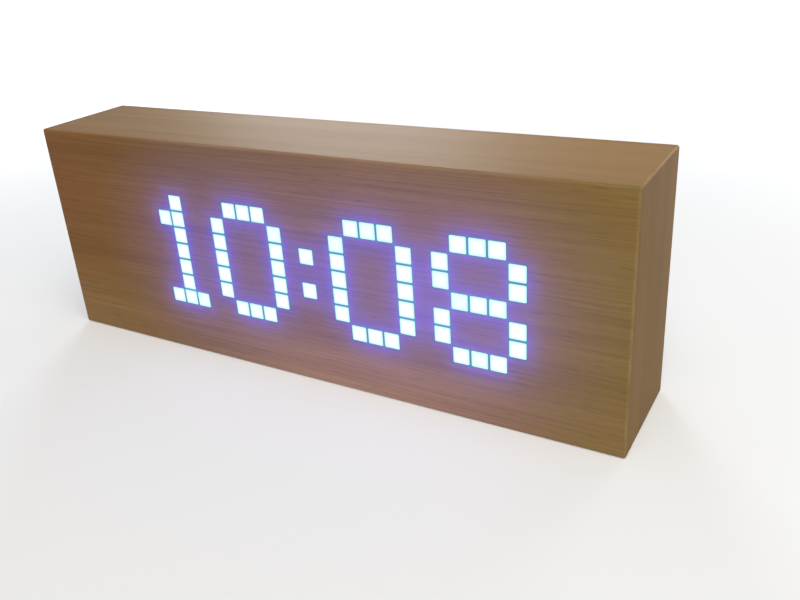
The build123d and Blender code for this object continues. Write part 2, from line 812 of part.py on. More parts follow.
def dc_jack_leads():
    """Two wires from the solder tags to the near edge of the main board, clear of its lowest screw."""
    tag_y = cover_y - JACK_LENGTH - TAG_LENGTH
    land_y = board_front_y - LEAD_DIAMETER / 2
    screw_z = min(z for x, z in standoff_places())
    land_z = screw_z + (BOARD_SCREW_HEAD + LEAD_DIAMETER) / 2 + LEAD_CLEARANCE
    wires = []
    for side, row in ((-TAG_SPREAD, 0), (TAG_SPREAD, 1)):
        x = jack_x + side
        out_y = tag_y - TAG_LENGTH + side
        z = land_z + row * LEAD_PITCH
        wires.append(
            lead(
                [
                    (x, tag_y, jack_z),
                    (x, out_y, jack_z),
                    (board_left - LEAD_EDGE, out_y, z),
                    (board_left + LEAD_LANDING / 2, land_y, z),
                    (board_left + LEAD_LANDING * 1.5, land_y, z),
                ]
            )
        )
    return Compound(wires)


def cell_places():
    """Height of each cell, from the top, with the side that its plus end points to."""
    pitch = CELL_DIAMETER + CELL_GAP
    top = mid_z + (CELL_COUNT - 1) / 2 * pitch
    return [(top - i * pitch, -1 if i % 2 == 0 else 1) for i in range(CELL_COUNT)]


def battery_cells():
    """AAA cells, laid head to tail."""
    radius = CELL_DIAMETER / 2
    nub = CELL_NUB / 2
    shoulder = CELL_LENGTH - CELL_NUB_HEIGHT
    outline = Polyline(
        (0, 0),
        (radius - CELL_EASE, 0),
        (radius, CELL_EASE),
        (radius, shoulder - CELL_EASE),
        (radius - CELL_EASE, shoulder),
        (nub, shoulder),
        (nub, CELL_LENGTH),
        (0, CELL_LENGTH),
        close=True,
    )
    cell = Rot(0, 0, -90) * turned(outline, 0, 0, 0)
    cells = []
    for z, side in cell_places():
        tail = bay_x - side * (bay_length / 2 - MINUS_CONTACT)
        turn = 0 if side > 0 else 180
        cells.append(Pos(tail, cell_y, z) * Rot(0, 0, turn) * cell)
    return Compound(cells)


def tray_tails():
    """The two contacts with a tail through the end wall: side, height."""
    places = cell_places()
    return [(places[0][1], places[0][0]), (-places[-1][1], places[-1][0])]


def battery_tray():
    """Tray with a flange outside the rear cover, cradles for the cells and a rebate for the door."""
    floor = floor_y - TRAY_FLOOR
    tray = plate(rect(tray_length, tray_height, bay_x), floor, flange_y)
    tray = fillet(tray.edges().filter_by(Axis.Y), TRAY_CORNER)
    flange = RectangleRounded(tray_length + 2 * TRAY_LAP, tray_height + 2 * TRAY_LAP, FLANGE_CORNER)
    tray += plate(Pos(bay_x, mid_z) * flange, cover_y, flange_y)
    tray = chamfer(tray.faces().sort_by(Axis.Y)[-1].edges(), TRAY_EASE)
    tray -= plate(rect(bay_length, bay_height, bay_x), floor_y + CRADLE_RISE, flange_y)
    for side in (-1, 1):
        end_x = bay_x + side * (bay_length - MINUS_CONTACT) / 2
        tray -= plate(rect(MINUS_CONTACT, bay_height, end_x), floor_y, flange_y)
    cradle = Cylinder(CELL_DIAMETER / 2 + CRADLE_GAP, bay_length, rotation=(0, 90, 0))
    tray -= [Pos(bay_x, cell_y, z) * cradle for z, side in cell_places()]
    rebate = rect(bay_length + 2 * DOOR_LEDGE, bay_height + 2 * DOOR_LEDGE, bay_x)
    tray -= plate(rebate, door_y - DOOR_SEAT, flange_y)
    socket = Cylinder(LUG_DIAMETER / 2 + LUG_PLAY, door_height + 2 * LUG_LENGTH + 2 * LUG_PLAY)
    tray -= Pos(hinge_x, hinge_y, mid_z) * socket
    scoop = disc(2 * THUMB_RADIUS, bay_x - door_length / 2 + THUMB_RADIUS * 0.4, mid_z)
    tray -= plate(scoop, flange_y - DOOR / 2, flange_y)
    for side, z in tray_tails():
        wall = bay_x + side * (bay_length + TRAY_WALL) / 2
        slot = Box(TRAY_WALL, TAIL_THICKNESS + 2 * SCREW_PLAY, TAIL_WIDTH + 2 * SCREW_PLAY)
        tray -= Pos(wall, tail_y, z) * slot
    countersink = countersunk_hole(TRAY_SCREW, TRAY_SCREW_HEAD, TRAY_FLANGE + 1)
    return tray - [Pos(x, flange_y, z) * countersink for x, z in tray_screw_places()]


def contact_plate(side, low, high):
    """Flat plate against one end wall of the bay between two heights."""
    wall = bay_x + side * bay_length / 2
    size = (CONTACT, CONTACT_WIDTH, high - low)
    return Pos(wall - side * CONTACT / 2, cell_y, (low + high) / 2) * Box(*size)


def contact_bump(side, z):
    """Raised disc that meets the nub of a cell."""
    face = bay_x + side * (bay_length / 2 - CONTACT)
    height = PLUS_CONTACT - CONTACT
    return Pos(face - side * height / 2, cell_y, z) * Cylinder(BUMP_DIAMETER / 2, height, rotation=(0, 90, 0))


def contact_leaf(side, z):
    """Bowed leaf spring that meets the base of a cell."""
    bow = MINUS_CONTACT - CONTACT - LEAF_GAP
    half = CONTACT_WIDTH / 2 - LEAF_INSET
    outer = ThreePointArc((0, -half), (bow, 0), (0, half))
    inner = ThreePointArc((0, CONTACT - half), (bow - CONTACT, 0), (0, half - CONTACT))
    ends = [Line(outer @ 0, inner @ 0), Line(outer @ 1, inner @ 1)]
    leaf = extrude(make_face([outer, inner, *ends]), LEAF_WIDTH)
    face = bay_x + side * (bay_length / 2 - CONTACT)
    turn = 180 if side > 0 else 0
    return Pos(face, cell_y, z - LEAF_WIDTH / 2) * Rot(0, 0, turn) * leaf


def battery_contacts():
    """End contacts: single ones at the ends of the chain, and bridges from each cell to the next."""
    places = cell_places()
    half = CONTACT_WIDTH / 2
    contacts = []
    first_z, first_side = places[0]
    first = contact_plate(first_side, first_z - half, first_z + half)
    contacts.append(first + contact_bump(first_side, first_z))
    for (z, side), (next_z, next_side) in zip(places, places[1:]):
        bridge = contact_plate(next_side, next_z - half, z + half)
        contacts.append(bridge + contact_leaf(next_side, z) + contact_bump(next_side, next_z))
    last_z, last_side = places[-1]
    last = contact_plate(-last_side, last_z - half, last_z + half)
    contacts.append(last + contact_leaf(-last_side, last_z))
    for index, (side, z) in zip((0, -1), tray_tails()):
        reach = TRAY_WALL + CONTACT_TAIL
        tail = Pos(bay_x + side * (bay_length + reach) / 2, tail_y, z) * Box(reach, TAIL_THICKNESS, TAIL_WIDTH)
        contacts[index] = contacts[index] + tail
    return Compound(contacts)


def tray_screws():
    screw = countersunk_screw(TRAY_SCREW, TRAY_SCREW_HEAD, TRAY_SCREW_LENGTH)
    return Compound([Pos(x, flange_y, z) * screw for x, z in tray_screw_places()])


def battery_door():
    """Door with a round hinge edge, two lugs, and a springy latch tongue between two slits."""
    latch_x = bay_x - door_length / 2
    flat = Pos((latch_x + hinge_x) / 2, hinge_y) * Rectangle(hinge_x - latch_x, DOOR)
    profile = flat + Pos(hinge_x, hinge_y) * Circle(DOOR / 2)
    door = extrude(Pos(0, 0, mid_z - door_height / 2) * profile, door_height)
    lugs = Cylinder(LUG_DIAMETER / 2, door_height + 2 * LUG_LENGTH)
    door += Pos(hinge_x, hinge_y, mid_z) * lugs
    for side in (-1, 1):
        z = mid_z + side * (LATCH_WIDTH + LATCH_SLIT) / 2
        slit = rect(LATCH_LENGTH, LATCH_SLIT, latch_x + LATCH_LENGTH / 2, z)
        door -= plate(slit, door_y - 1, flange_y + 1)
    for step in range(GRIP_COUNT):
        groove = rect(GRIP_WIDTH, LATCH_WIDTH - 2 * GRIP_MARGIN, latch_x + GRIP_INSET + GRIP_PITCH * step)
        door -= plate(groove, flange_y - GRIP_DEPTH, flange_y)
    return door


def battery_positive_lead():
    """Wire from the left tail of the tray to the rear face of the main board."""
    side, z = tray_tails()[0]
    start = bay_x + side * (tray_length / 2 + CONTACT_TAIL)
    land_y = board_y + LEAD_DIAMETER / 2
    gap = start - board_right
    return lead(
        [
            (start, tail_y, z),
            (start - gap * 0.25, tail_y, z),
            (start - gap * 0.55, tail_y - POSITIVE_DIP, z - POSITIVE_SAG),
            (board_right + gap * 0.15, land_y, z - POSITIVE_DROP),
            (board_right - LEAD_LANDING, land_y, z - POSITIVE_DROP),
        ]
    )


def battery_negative_lead():
    """Wire from the right tail, under the tray, to the front face of the main board."""
    side, z = tray_tails()[1]
    start = bay_x + side * (tray_length / 2 + CONTACT_TAIL)
    under_y = floor_y - TRAY_FLOOR - LEAD_DIAMETER
    land_y = board_front_y - LEAD_DIAMETER / 2
    return lead(
        [
            (start, tail_y, z),
            (start + NEGATIVE_SWING, tail_y, z),
            (start + NEGATIVE_SWING, under_y, z + NEGATIVE_SWING),
            (bay_x - tray_length / 2 - NEGATIVE_SWING, under_y, z + NEGATIVE_SWING),
            (board_right + NEGATIVE_EDGE, land_y, z - NEGATIVE_DROP),
            (board_right - LEAD_LANDING, land_y, z - NEGATIVE_DROP),
        ]
    )


def all_parts():
    """Every piece of the clock under its name."""
    makers = [
        top_board,
        bottom_board,
        left_end_board,
        right_end_board,
        front_board,
        front_veneer,
        rear_cover,
        corner_blocks,
        cover_screws,
        reflector_grid,
        diffuser_film,
        pixel_leds,
        display_board,
        display_board_screws,
        driver_chips,
        display_connector,
        main_connector,
        ribbon_cable,
        main_board,
        board_standoffs,
        main_board_screws,
        microcontroller,
        clock_crystal,
        backup_cell_holder,
        backup_cell,
        alarm_buzzer,
        button_housings,
        slide_switch_body,
        slide_switch_knob,
        dc_jack_body,
        dc_jack_pin,
        dc_jack_nut,
        dc_jack_leads,
        battery_cells,
        battery_tray,
        battery_contacts,
        tray_screws,
        battery_door,
        battery_positive_lead,
        battery_negative_lead,
    ]
    parts = {maker.__name__: maker() for maker in makers}
    for name, x in button_places():
        parts[name + "_button_cap"] = button_cap(x)
        parts[name + "_button_plunger"] = button_plunger(x)
    return parts


os.makedirs("parts", exist_ok=True)
for part_name, shape in all_parts().items():
    export_step(shape, "parts/" + part_name + ".step")
    print(part_name, len(shape.solids()), round(shape.volume))
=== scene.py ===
# %% [markdown]
# A block of wood that tells the time. From the front it is only a veneered box with softly eased edges.
# Behind the veneer sits a grid of LEDs, and the lit ones shine through the wood as small square pixels.
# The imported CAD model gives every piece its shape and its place, so nothing has to be fitted by eye.
# This lesson dresses it: wood, light, plastic and metal.

import math

import bmesh
import bpy
from mathutils import Matrix, Vector


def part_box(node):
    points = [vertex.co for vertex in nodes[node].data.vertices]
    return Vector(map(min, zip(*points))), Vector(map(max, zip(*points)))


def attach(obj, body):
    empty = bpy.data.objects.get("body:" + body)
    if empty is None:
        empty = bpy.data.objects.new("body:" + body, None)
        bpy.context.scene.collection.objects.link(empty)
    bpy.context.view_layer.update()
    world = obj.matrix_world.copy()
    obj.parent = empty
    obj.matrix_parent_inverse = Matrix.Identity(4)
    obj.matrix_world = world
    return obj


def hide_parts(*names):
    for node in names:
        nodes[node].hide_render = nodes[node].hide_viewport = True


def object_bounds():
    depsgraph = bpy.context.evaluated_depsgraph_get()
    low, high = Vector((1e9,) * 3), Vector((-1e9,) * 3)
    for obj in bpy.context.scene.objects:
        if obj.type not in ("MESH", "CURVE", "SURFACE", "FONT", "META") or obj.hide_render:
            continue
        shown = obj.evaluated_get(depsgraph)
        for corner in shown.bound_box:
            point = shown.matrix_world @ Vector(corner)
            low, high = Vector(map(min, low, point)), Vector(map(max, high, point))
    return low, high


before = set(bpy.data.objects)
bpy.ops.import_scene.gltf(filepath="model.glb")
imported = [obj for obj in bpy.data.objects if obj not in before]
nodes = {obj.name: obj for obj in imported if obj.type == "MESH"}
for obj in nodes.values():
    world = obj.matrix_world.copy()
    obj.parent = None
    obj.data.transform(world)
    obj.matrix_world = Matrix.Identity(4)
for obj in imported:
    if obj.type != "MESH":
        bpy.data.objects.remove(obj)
cad_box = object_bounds()

# %% [markdown]
# The sizes of the block are read from the frame, in metres. Typing them again would be as quick,
# but a size that is read can never disagree with the CAD model.
# The front face is the plane of lowest Y, and the block stands on Z = 0.

# %% Sizes of the block
MM = 0.001
low, high = (Vector(corner) for corner in cad_box)
WIDTH, DEPTH, HEIGHT = high - low
MIDDLE = Vector((0, 0, HEIGHT / 2))
FRONT = low.y
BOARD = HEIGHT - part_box("top_board")[0].z
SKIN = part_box("front_veneer")[1].y - FRONT
print("block", [round(size / MM, 1) for size in (WIDTH, DEPTH, HEIGHT)], "mm, board", round(BOARD / MM, 2))

# %% [markdown]
# The photograph was taken from the right, a little above the block, with the camera tilted slightly.
# Place, lens and shift could be found by trial. Here they were worked out from the corners of the block and
# the grid of its pixels. A look-at rotation sets the view axis, and one turn about that axis gives the tilt.
# Depth of field stays off, because the whole block is sharp.

# %% Camera
EYE = Vector((0.15724, -0.21481, 0.14607))
AIM = Vector((0.03235, -0.02000, 0.04246))
TILT = math.radians(-4.504)
SENSOR = 36.0
LENS = 37.331
SHIFT = (0.0284, -0.0254)
NEAREST = 0.01

camera_data = bpy.data.cameras.new("view")
camera_data.sensor_width = SENSOR
camera_data.lens = LENS
camera_data.shift_x, camera_data.shift_y = SHIFT
camera_data.clip_start = NEAREST
camera = bpy.data.objects.new("view", camera_data)
look = (AIM - EYE).to_track_quat("-Z", "Y").to_matrix().to_4x4()
camera.matrix_world = Matrix.Translation(EYE) @ look @ Matrix.Rotation(TILT, 4, "Z")
bpy.context.scene.collection.objects.link(camera)
bpy.context.scene.camera = camera
print("camera", round((AIM - EYE).length, 3), "m from the front face")

# %% [markdown]
# A studio for a small product is pale all round. One plain world colour could do that, but a world bright
# enough to look white would also wash out the wood. So the surround has two strengths: white for the camera
# and for reflections, and a gentle one for the light that reaches the block.

# %% Surround
SURROUND_WHITE = 1.0
SURROUND_LIGHT = 0.34
SURROUND_TINT = (1.0, 0.97, 0.97, 1)
WHITE = (1, 1, 1, 1)
scene = bpy.context.scene
scene.view_settings.view_transform = "Standard"


def wire(tree, kind, feeds=None, **settings):
    """Add a node, set its properties, and feed its inputs with values or with other sockets."""
    node = tree.nodes.new(kind)
    for name, value in settings.items():
        setattr(node, name, value)
    for name, value in (feeds or {}).items():
        if isinstance(value, bpy.types.NodeSocket):
            tree.links.new(value, node.inputs[name])
        else:
            node.inputs[name].default_value = value
    return node


def math_node(tree, operation, first, second=0.0):
    return wire(tree, "ShaderNodeMath", {0: first, 1: second}, operation=operation).outputs[0]


def seen_directly(tree):
    """1 for camera, mirror and glass rays, 0 for the rays that carry light onto the block."""
    path = wire(tree, "ShaderNodeLightPath").outputs
    shiny = math_node(tree, "MAXIMUM", path["Is Camera Ray"], path["Is Glossy Ray"])
    return math_node(tree, "MAXIMUM", shiny, path["Is Transmission Ray"])


world = bpy.data.worlds.new("surround")
world.use_nodes = True
sky = world.node_tree
sky.nodes.clear()
gentle = wire(sky, "ShaderNodeBackground", {"Color": SURROUND_TINT, "Strength": SURROUND_LIGHT})
white = wire(sky, "ShaderNodeBackground", {"Color": WHITE, "Strength": SURROUND_WHITE})
either = wire(sky, "ShaderNodeMixShader", {0: seen_directly(sky), 1: gentle.outputs[0], 2: white.outputs[0]})
wire(sky, "ShaderNodeOutputWorld", {"Surface": either.outputs[0]})
scene.world = world
print("surround", SURROUND_WHITE, "to the camera,", SURROUND_LIGHT, "as light")

# %% [markdown]
# Square softboxes give the even light of a product picture, where a bare bulb would draw hard shadows.
# The key stands in front at the right, and the overhead lights the top. The window, behind at the left,
# gives the top its cool sheen, and the rear lamp keeps the back from falling dark.

# %% Soft lamps
LAMPS = {  # place and size in metres, power in watts, colour
    "key": ((0.42, -0.75, 0.28), 0.6, 1.75, (0.97, 1.0, 0.86)),
    "overhead": ((0.38, -0.40, 1.00), 0.9, 8.5, (1.0, 0.91, 0.80)),
    "window": ((-0.70, 1.10, 0.45), 0.5, 6.5, (0.86, 0.92, 1.0)),
    "rear": ((0.25, 0.80, 0.16), 0.3, 1.7, (1.0, 0.97, 0.92)),
}


def soft_lamp(name, place, size, watts, colour):
    """Square softbox at a place, turned to the middle of the block."""
    data = bpy.data.lights.new(name, "AREA")
    data.shape = "SQUARE"
    data.size = size
    data.energy = watts
    data.color = colour
    lamp = bpy.data.objects.new(name, data)
    turn = (MIDDLE - Vector(place)).to_track_quat("-Z", "Y").to_matrix().to_4x4()
    lamp.matrix_world = Matrix.Translation(Vector(place)) @ turn
    scene.collection.objects.link(lamp)


for lamp_name, lamp_facts in LAMPS.items():
    soft_lamp(lamp_name, *lamp_facts)

# %% [markdown]
# The floor is a plain pale sheet that takes the soft shadow of the block. A curved backdrop would hide where
# it ends, but it would also shade the window and the rear lamp. So the sheet is flat, and a little light of
# its own, which only the camera and reflections see, grows with the distance from the block.
# That way the sheet runs into the white surround.

# %% Floor
FLOOR_HALF = 3.0
FLOOR_TONE = (0.78, 0.82, 0.87, 1)
FLOOR_ROUGHNESS = 0.9
LIFT_FROM, LIFT_TO = 0.15, 0.8
LIFT_NEAR, LIFT_FAR = 0.10, 0.75


def new_finish(name):
    """A material, its node tree and its surface shader."""
    material = bpy.data.materials.new(name)
    material.use_nodes = True
    tree = material.node_tree
    return material, tree, tree.nodes["Principled BSDF"]


def object_place(tree):
    """The place of a point in its object's own frame, which is the frame of the CAD model."""
    return wire(tree, "ShaderNodeTexCoord").outputs["Object"]


def vector_node(tree, operation, first, second=(0, 0, 0)):
    node = wire(tree, "ShaderNodeVectorMath", {0: first, 1: second}, operation=operation)
    return node.outputs["Value" if operation == "LENGTH" else "Vector"]


floor_mesh = bpy.data.meshes.new("floor")
floor_corners = [(x * FLOOR_HALF, y * FLOOR_HALF, 0) for x, y in ((-1, -1), (1, -1), (1, 1), (-1, 1))]
floor_mesh.from_pydata(floor_corners, [], [(0, 1, 2, 3)])
floor = bpy.data.objects.new("floor", floor_mesh)
scene.collection.objects.link(floor)
floor_paint, floor_tree, floor_shader = new_finish("pale_floor")
floor_shader.inputs["Base Color"].default_value = FLOOR_TONE
floor_shader.inputs["Roughness"].default_value = FLOOR_ROUGHNESS
floor_shader.inputs["Emission Color"].default_value = WHITE
far_off = vector_node(floor_tree, "LENGTH", object_place(floor_tree))
lift_feeds = {"Value": far_off, "From Min": LIFT_FROM, "From Max": LIFT_TO,
              "To Min": LIFT_NEAR, "To Max": LIFT_FAR}
lift = wire(floor_tree, "ShaderNodeMapRange", lift_feeds, interpolation_type="SMOOTHSTEP").outputs["Result"]
floor_glow = math_node(floor_tree, "MULTIPLY", seen_directly(floor_tree), lift)
floor_tree.links.new(floor_glow, floor_shader.inputs["Emission Strength"])
floor_mesh.materials.append(floor_paint)
print("floor", 2 * FLOOR_HALF, "m wide")

# %% [markdown]
# The veneer is a light, even wood: fine dark streaks and short pores on a warm ground that drifts in tone.
# A picture of wood would have to be laid on each board with care, and its seams would show.
# Noise that is stretched along the grain is a solid pattern instead, so it carries round every eased edge.

# %% Grain of the wood
GROUND_DARK = (0.166, 0.092, 0.031, 1)
GROUND_LIGHT = (0.274, 0.164, 0.060, 1)
PORE = (0.110, 0.058, 0.020, 1)
PORE_STRENGTH = 0.35
PORE_FROM, PORE_TO = 0.58, 0.78
CLOUD_SHARE, DRIFT_SHARE, STREAK_SHARE = 0.5, 0.3, 0.42
TONE_FROM, TONE_TO = 0.36, 0.86
NOISE_ROUGHNESS = 0.55
NOISE_OFFSET = (1.0, 0.7, 1.3)


def band(tree, value, start, end):
    """0 at start, 1 at end, smooth between; start may be the larger one."""
    remap = wire(tree, "ShaderNodeMapRange", {"Value": value, "From Min": start, "From Max": end},
                 interpolation_type="SMOOTHSTEP")
    return remap.outputs["Result"]


def blend_colour(tree, factor, first, second, kind="MIX"):
    mix = wire(tree, "ShaderNodeMix", {0: factor, 6: first, 7: second}, data_type="RGBA", blend_type=kind)
    return mix.outputs[2]


def stretched_noise(tree, place, along, across, length, detail, seed):
    """Noise whose features are longer along the grain than across it; sizes in metres."""
    scale = [1.0 / across] * 3
    scale["XYZ".index(along)] = 1.0 / length
    offset = tuple(seed * part for part in NOISE_OFFSET)
    mapping = wire(tree, "ShaderNodeMapping", {"Vector": place, "Location": offset, "Scale": scale})
    noise = wire(tree, "ShaderNodeTexNoise",
                 {"Vector": mapping.outputs[0], "Scale": 1.0, "Detail": detail, "Roughness": NOISE_ROUGHNESS})
    return noise.outputs["Fac"]


def wood_grain(tree, place, along):
    """Colour of the wood, and the drift, the streaks and the pores that it is made of."""
    cloud = stretched_noise(tree, place, along, across=60 * MM, length=220 * MM, detail=1.0, seed=38.98)
    drift = stretched_noise(tree, place, along, across=9 * MM, length=150 * MM, detail=2.0, seed=3.1)
    streak = stretched_noise(tree, place, along, across=0.55 * MM, length=45 * MM, detail=2.0, seed=11.4)
    pore = stretched_noise(tree, place, along, across=0.45 * MM, length=8 * MM, detail=1.0, seed=27.9)
    tone = math_node(tree, "MULTIPLY", cloud, CLOUD_SHARE)
    for part, share in ((drift, DRIFT_SHARE), (streak, STREAK_SHARE)):
        tone = math_node(tree, "ADD", tone, math_node(tree, "MULTIPLY", part, share))
    colour = blend_colour(tree, band(tree, tone, TONE_FROM, TONE_TO), GROUND_DARK, GROUND_LIGHT)
    pores = math_node(tree, "MULTIPLY", band(tree, pore, PORE_FROM, PORE_TO), PORE_STRENGTH)
    return blend_colour(tree, pores, colour, PORE), drift, streak, pores


print("grain from", GROUND_DARK[:3], "to", GROUND_LIGHT[:3], "with pores of", PORE[:3])

# %% [markdown]
# The outer edges are a touch paler: a painted highlight where the eased edges catch the light.
# They could be painted by hand on each board. The block is a box, though, so a formula finds them: of the
# distances from a point to the nearest sides along X, Y and Z, one is nothing on the skin, and the smaller
# of the other two is the distance to the nearest edge.

# %% Painted highlight on the edges
# Colour and reach of the painted highlight on the outer edges.
EDGE_HIGHLIGHT = (0.33, 0.22, 0.105, 1)
HIGHLIGHT_STRENGTH = 0.6
HIGHLIGHT_FULL, HIGHLIGHT_GONE = 0.2 * MM, 1.1 * MM
HIGHLIGHT_UNEVEN_FROM, HIGHLIGHT_UNEVEN_TO = 0.2, 0.8


def edge_distance(tree, place):
    """Distance of a point on the block's skin from the nearest outer edge of the block."""
    apart = vector_node(tree, "ABSOLUTE", vector_node(tree, "SUBTRACT", place, MIDDLE))
    room = vector_node(tree, "SUBTRACT", (WIDTH / 2, DEPTH / 2, HEIGHT / 2), apart)
    x, y, z = wire(tree, "ShaderNodeSeparateXYZ", {0: room}).outputs
    least = math_node(tree, "MINIMUM", x, math_node(tree, "MINIMUM", y, z))
    most = math_node(tree, "MAXIMUM", x, math_node(tree, "MAXIMUM", y, z))
    total = math_node(tree, "ADD", x, math_node(tree, "ADD", y, z))
    return math_node(tree, "SUBTRACT", math_node(tree, "SUBTRACT", total, least), most)


def painted_highlight(tree, place, colour, drift):
    """The colour with a painted highlight on its outer edges, more so where the wood is lighter."""
    near_edge = math_node(tree, "SUBTRACT", 1.0, band(tree, edge_distance(tree, place), HIGHLIGHT_FULL, HIGHLIGHT_GONE))
    uneven = band(tree, drift, HIGHLIGHT_UNEVEN_FROM, HIGHLIGHT_UNEVEN_TO)
    uneven = math_node(tree, "MULTIPLY", uneven, HIGHLIGHT_STRENGTH)
    return blend_colour(tree, math_node(tree, "MULTIPLY", near_edge, uneven), colour, EDGE_HIGHLIGHT)


# Width of the painted highlight on the outer edges.
print("edges rubbed", HIGHLIGHT_GONE / MM, "mm wide")

# %% [markdown]
# Lacquer over open pores is a satin that is not quite even: the streaks take it up differently and show as
# a slight relief. Both follow the grain, so gloss and bump are driven by the same noise as the colour.
# On the front, the top and the back the grain runs along the block. On the two ends it stands upright,
# and there painted shade makes the wood a little darker.

# %% Veneer of the box
GLOSS_BASE, GLOSS_SWING = 0.44, 0.16
STREAK_RELIEF = 0.35
RELIEF_STRENGTH, RELIEF_DEPTH = 0.25, 0.10 * MM


def veneer_wood(name, along, painted_shade, shine):
    """Lacquered veneer with its grain along one axis, and painted shade that leans it by the given share to
    the pores' colour.
    """
    material, tree, shader = new_finish(name)
    place = object_place(tree)
    colour, drift, streak, pores = wood_grain(tree, place, along)
    # Painted highlight on the outer edges, and painted shade that leans the colour to the pores' colour.
    colour = blend_colour(tree, painted_shade, painted_highlight(tree, place, colour, drift), PORE)
    tree.links.new(colour, shader.inputs["Base Color"])
    gloss = math_node(tree, "ADD", GLOSS_BASE, math_node(tree, "MULTIPLY", streak, GLOSS_SWING))
    tree.links.new(gloss, shader.inputs["Roughness"])
    relief = math_node(tree, "SUBTRACT", math_node(tree, "MULTIPLY", streak, STREAK_RELIEF), pores)
    bump = wire(tree, "ShaderNodeBump",
                {"Height": relief, "Strength": RELIEF_STRENGTH, "Distance": RELIEF_DEPTH})
    tree.links.new(bump.outputs[0], shader.inputs["Normal"])
    shader.inputs["Specular IOR Level"].default_value = shine
    return material


wood_lengthwise = veneer_wood("veneer_lengthwise", "X", painted_shade=0.0, shine=0.06)
# The ends get painted shade, a little darker than the rest.
wood_upright = veneer_wood("veneer_upright", "Z", painted_shade=0.17, shine=0.04)
wood_front = veneer_wood("veneer_front", "X", painted_shade=0.0, shine=0.06)
print("veneers", [wood.name for wood in (wood_lengthwise, wood_upright, wood_front)])

# %% [markdown]
# The front is one sheet whose tone wanders, and its tones are painted light. Painted light from below makes
# it paler along the lower edge, most of all a little right of the middle, a painted red cast of the light
# makes it redder towards the upper left, and a painted green cast makes it a trace greener at the right.
# Another noise would put these tones at random places, so soft ramps along X and Z place them, and each one
# multiplies the colour, which keeps the grain alive.

# %% Painted light in the tones of the front sheet
# Painted light from below, paler along the lower edge.
LOWER_LIGHT = (2.05, 2.10, 3.9, 1)
LOWER_LIGHT_MOST, LOWER_LIGHT_LOSS = 0.6, 0.45
LOWER_LIGHT_HEIGHT, LOWER_LIGHT_CENTRE = 26 * MM, 20 * MM
LOWER_LIGHT_FULL, LOWER_LIGHT_GONE = 10 * MM, 80 * MM
# Painted red cast of the light towards the upper left.
RED_CAST = (0.99, 0.80, 0.86, 1)
RED_FROM, RED_TO = -30 * MM, -105 * MM
RED_LOW, RED_HIGH = 5 * MM, 45 * MM
# Painted green cast of the light at the right.
GREEN_CAST = (0.92, 1.0, 0.94, 1)
GREEN_FROM, GREEN_TO = 60 * MM, 108 * MM


def feeding(shader, name):
    """The socket that feeds an input of the shader."""
    return shader.inputs[name].links[0].from_socket


front_tree = wood_front.node_tree
front_shader = front_tree.nodes["Principled BSDF"]
front_colour = feeding(front_shader, "Base Color")
x, _, z = wire(front_tree, "ShaderNodeSeparateXYZ", {0: object_place(front_tree)}).outputs
near_floor = math_node(front_tree, "SUBTRACT", 1.0, band(front_tree, z, 0.0, LOWER_LIGHT_HEIGHT))
aside = math_node(front_tree, "ABSOLUTE", math_node(front_tree, "SUBTRACT", x, LOWER_LIGHT_CENTRE))
loss = math_node(front_tree, "MULTIPLY", band(front_tree, aside, LOWER_LIGHT_FULL, LOWER_LIGHT_GONE), LOWER_LIGHT_LOSS)
lower_edge = math_node(front_tree, "MULTIPLY", near_floor, math_node(front_tree, "SUBTRACT", LOWER_LIGHT_MOST, loss))
leftward = band(front_tree, x, RED_FROM, RED_TO)
upper_left = math_node(front_tree, "MULTIPLY", leftward, band(front_tree, z, RED_LOW, RED_HIGH))
right_side = band(front_tree, x, GREEN_FROM, GREEN_TO)
# Each tint is painted light: from below at the lower edge, a red cast at the upper left, a green cast at the
# right.
for share, tint in ((lower_edge, LOWER_LIGHT), (upper_left, RED_CAST), (right_side, GREEN_CAST)):
    front_colour = blend_colour(front_tree, share, front_colour, tint, "MULTIPLY")
print("front sheet of", len(front_tree.nodes), "nodes")

# %% [markdown]
# Light from the LEDs spreads inside the front sheet. Lamps behind a thin, translucent sheet would be the real
# way, but they render slowly and are lost in an export. So the sheet shines by itself: a later step stores
# on it how much light reaches each point, as light_level, and how far the nearest pixel is, as light_gap.
# Faint light looks violet on the wood, strong light blue, and the rim right beside a pixel is dark and cold.

# %% Light in the front sheet
GLOW_FAINT = (0.17, 0.14, 1.0, 1)
GLOW_STRONG = (0.05, 0.08, 1.0, 1)
GLOW_RIM = (0.06, 0.40, 0.68, 1)
FAINT, STRONG = 0.12, 0.45
RIM_FULL, RIM_GONE = 0.10 * MM, 0.45 * MM
RIM_SHADE = 0.72
BLACK = (0, 0, 0, 1)

level = wire(front_tree, "ShaderNodeAttribute", attribute_name="light_level").outputs["Fac"]
gap = wire(front_tree, "ShaderNodeAttribute", attribute_name="light_gap").outputs["Fac"]
beside = math_node(front_tree, "SUBTRACT", 1.0, band(front_tree, gap, RIM_FULL, RIM_GONE))
hue = blend_colour(front_tree, band(front_tree, level, FAINT, STRONG), GLOW_FAINT, GLOW_STRONG)
hue = blend_colour(front_tree, beside, hue, GLOW_RIM)
front_tree.links.new(hue, front_shader.inputs["Emission Color"])
front_tree.links.new(level, front_shader.inputs["Emission Strength"])
shade = math_node(front_tree, "MULTIPLY", beside, RIM_SHADE)
front_tree.links.new(blend_colour(front_tree, shade, front_colour, BLACK), front_shader.inputs["Base Color"])
print("front sheet of", len(front_tree.nodes), "nodes with its light")

# %% [markdown]
# A joiner would cut the boards first and ease the edges after gluing. Here the block is eased first and the
# boards are sawn from it, so that every board carries its own piece of the rounded edges without a seam.
# A bevel on each board alone would leave a groove at every joint.

# %% One eased block, and a saw
EASE = 0.8 * MM
EASE_STEPS = 7


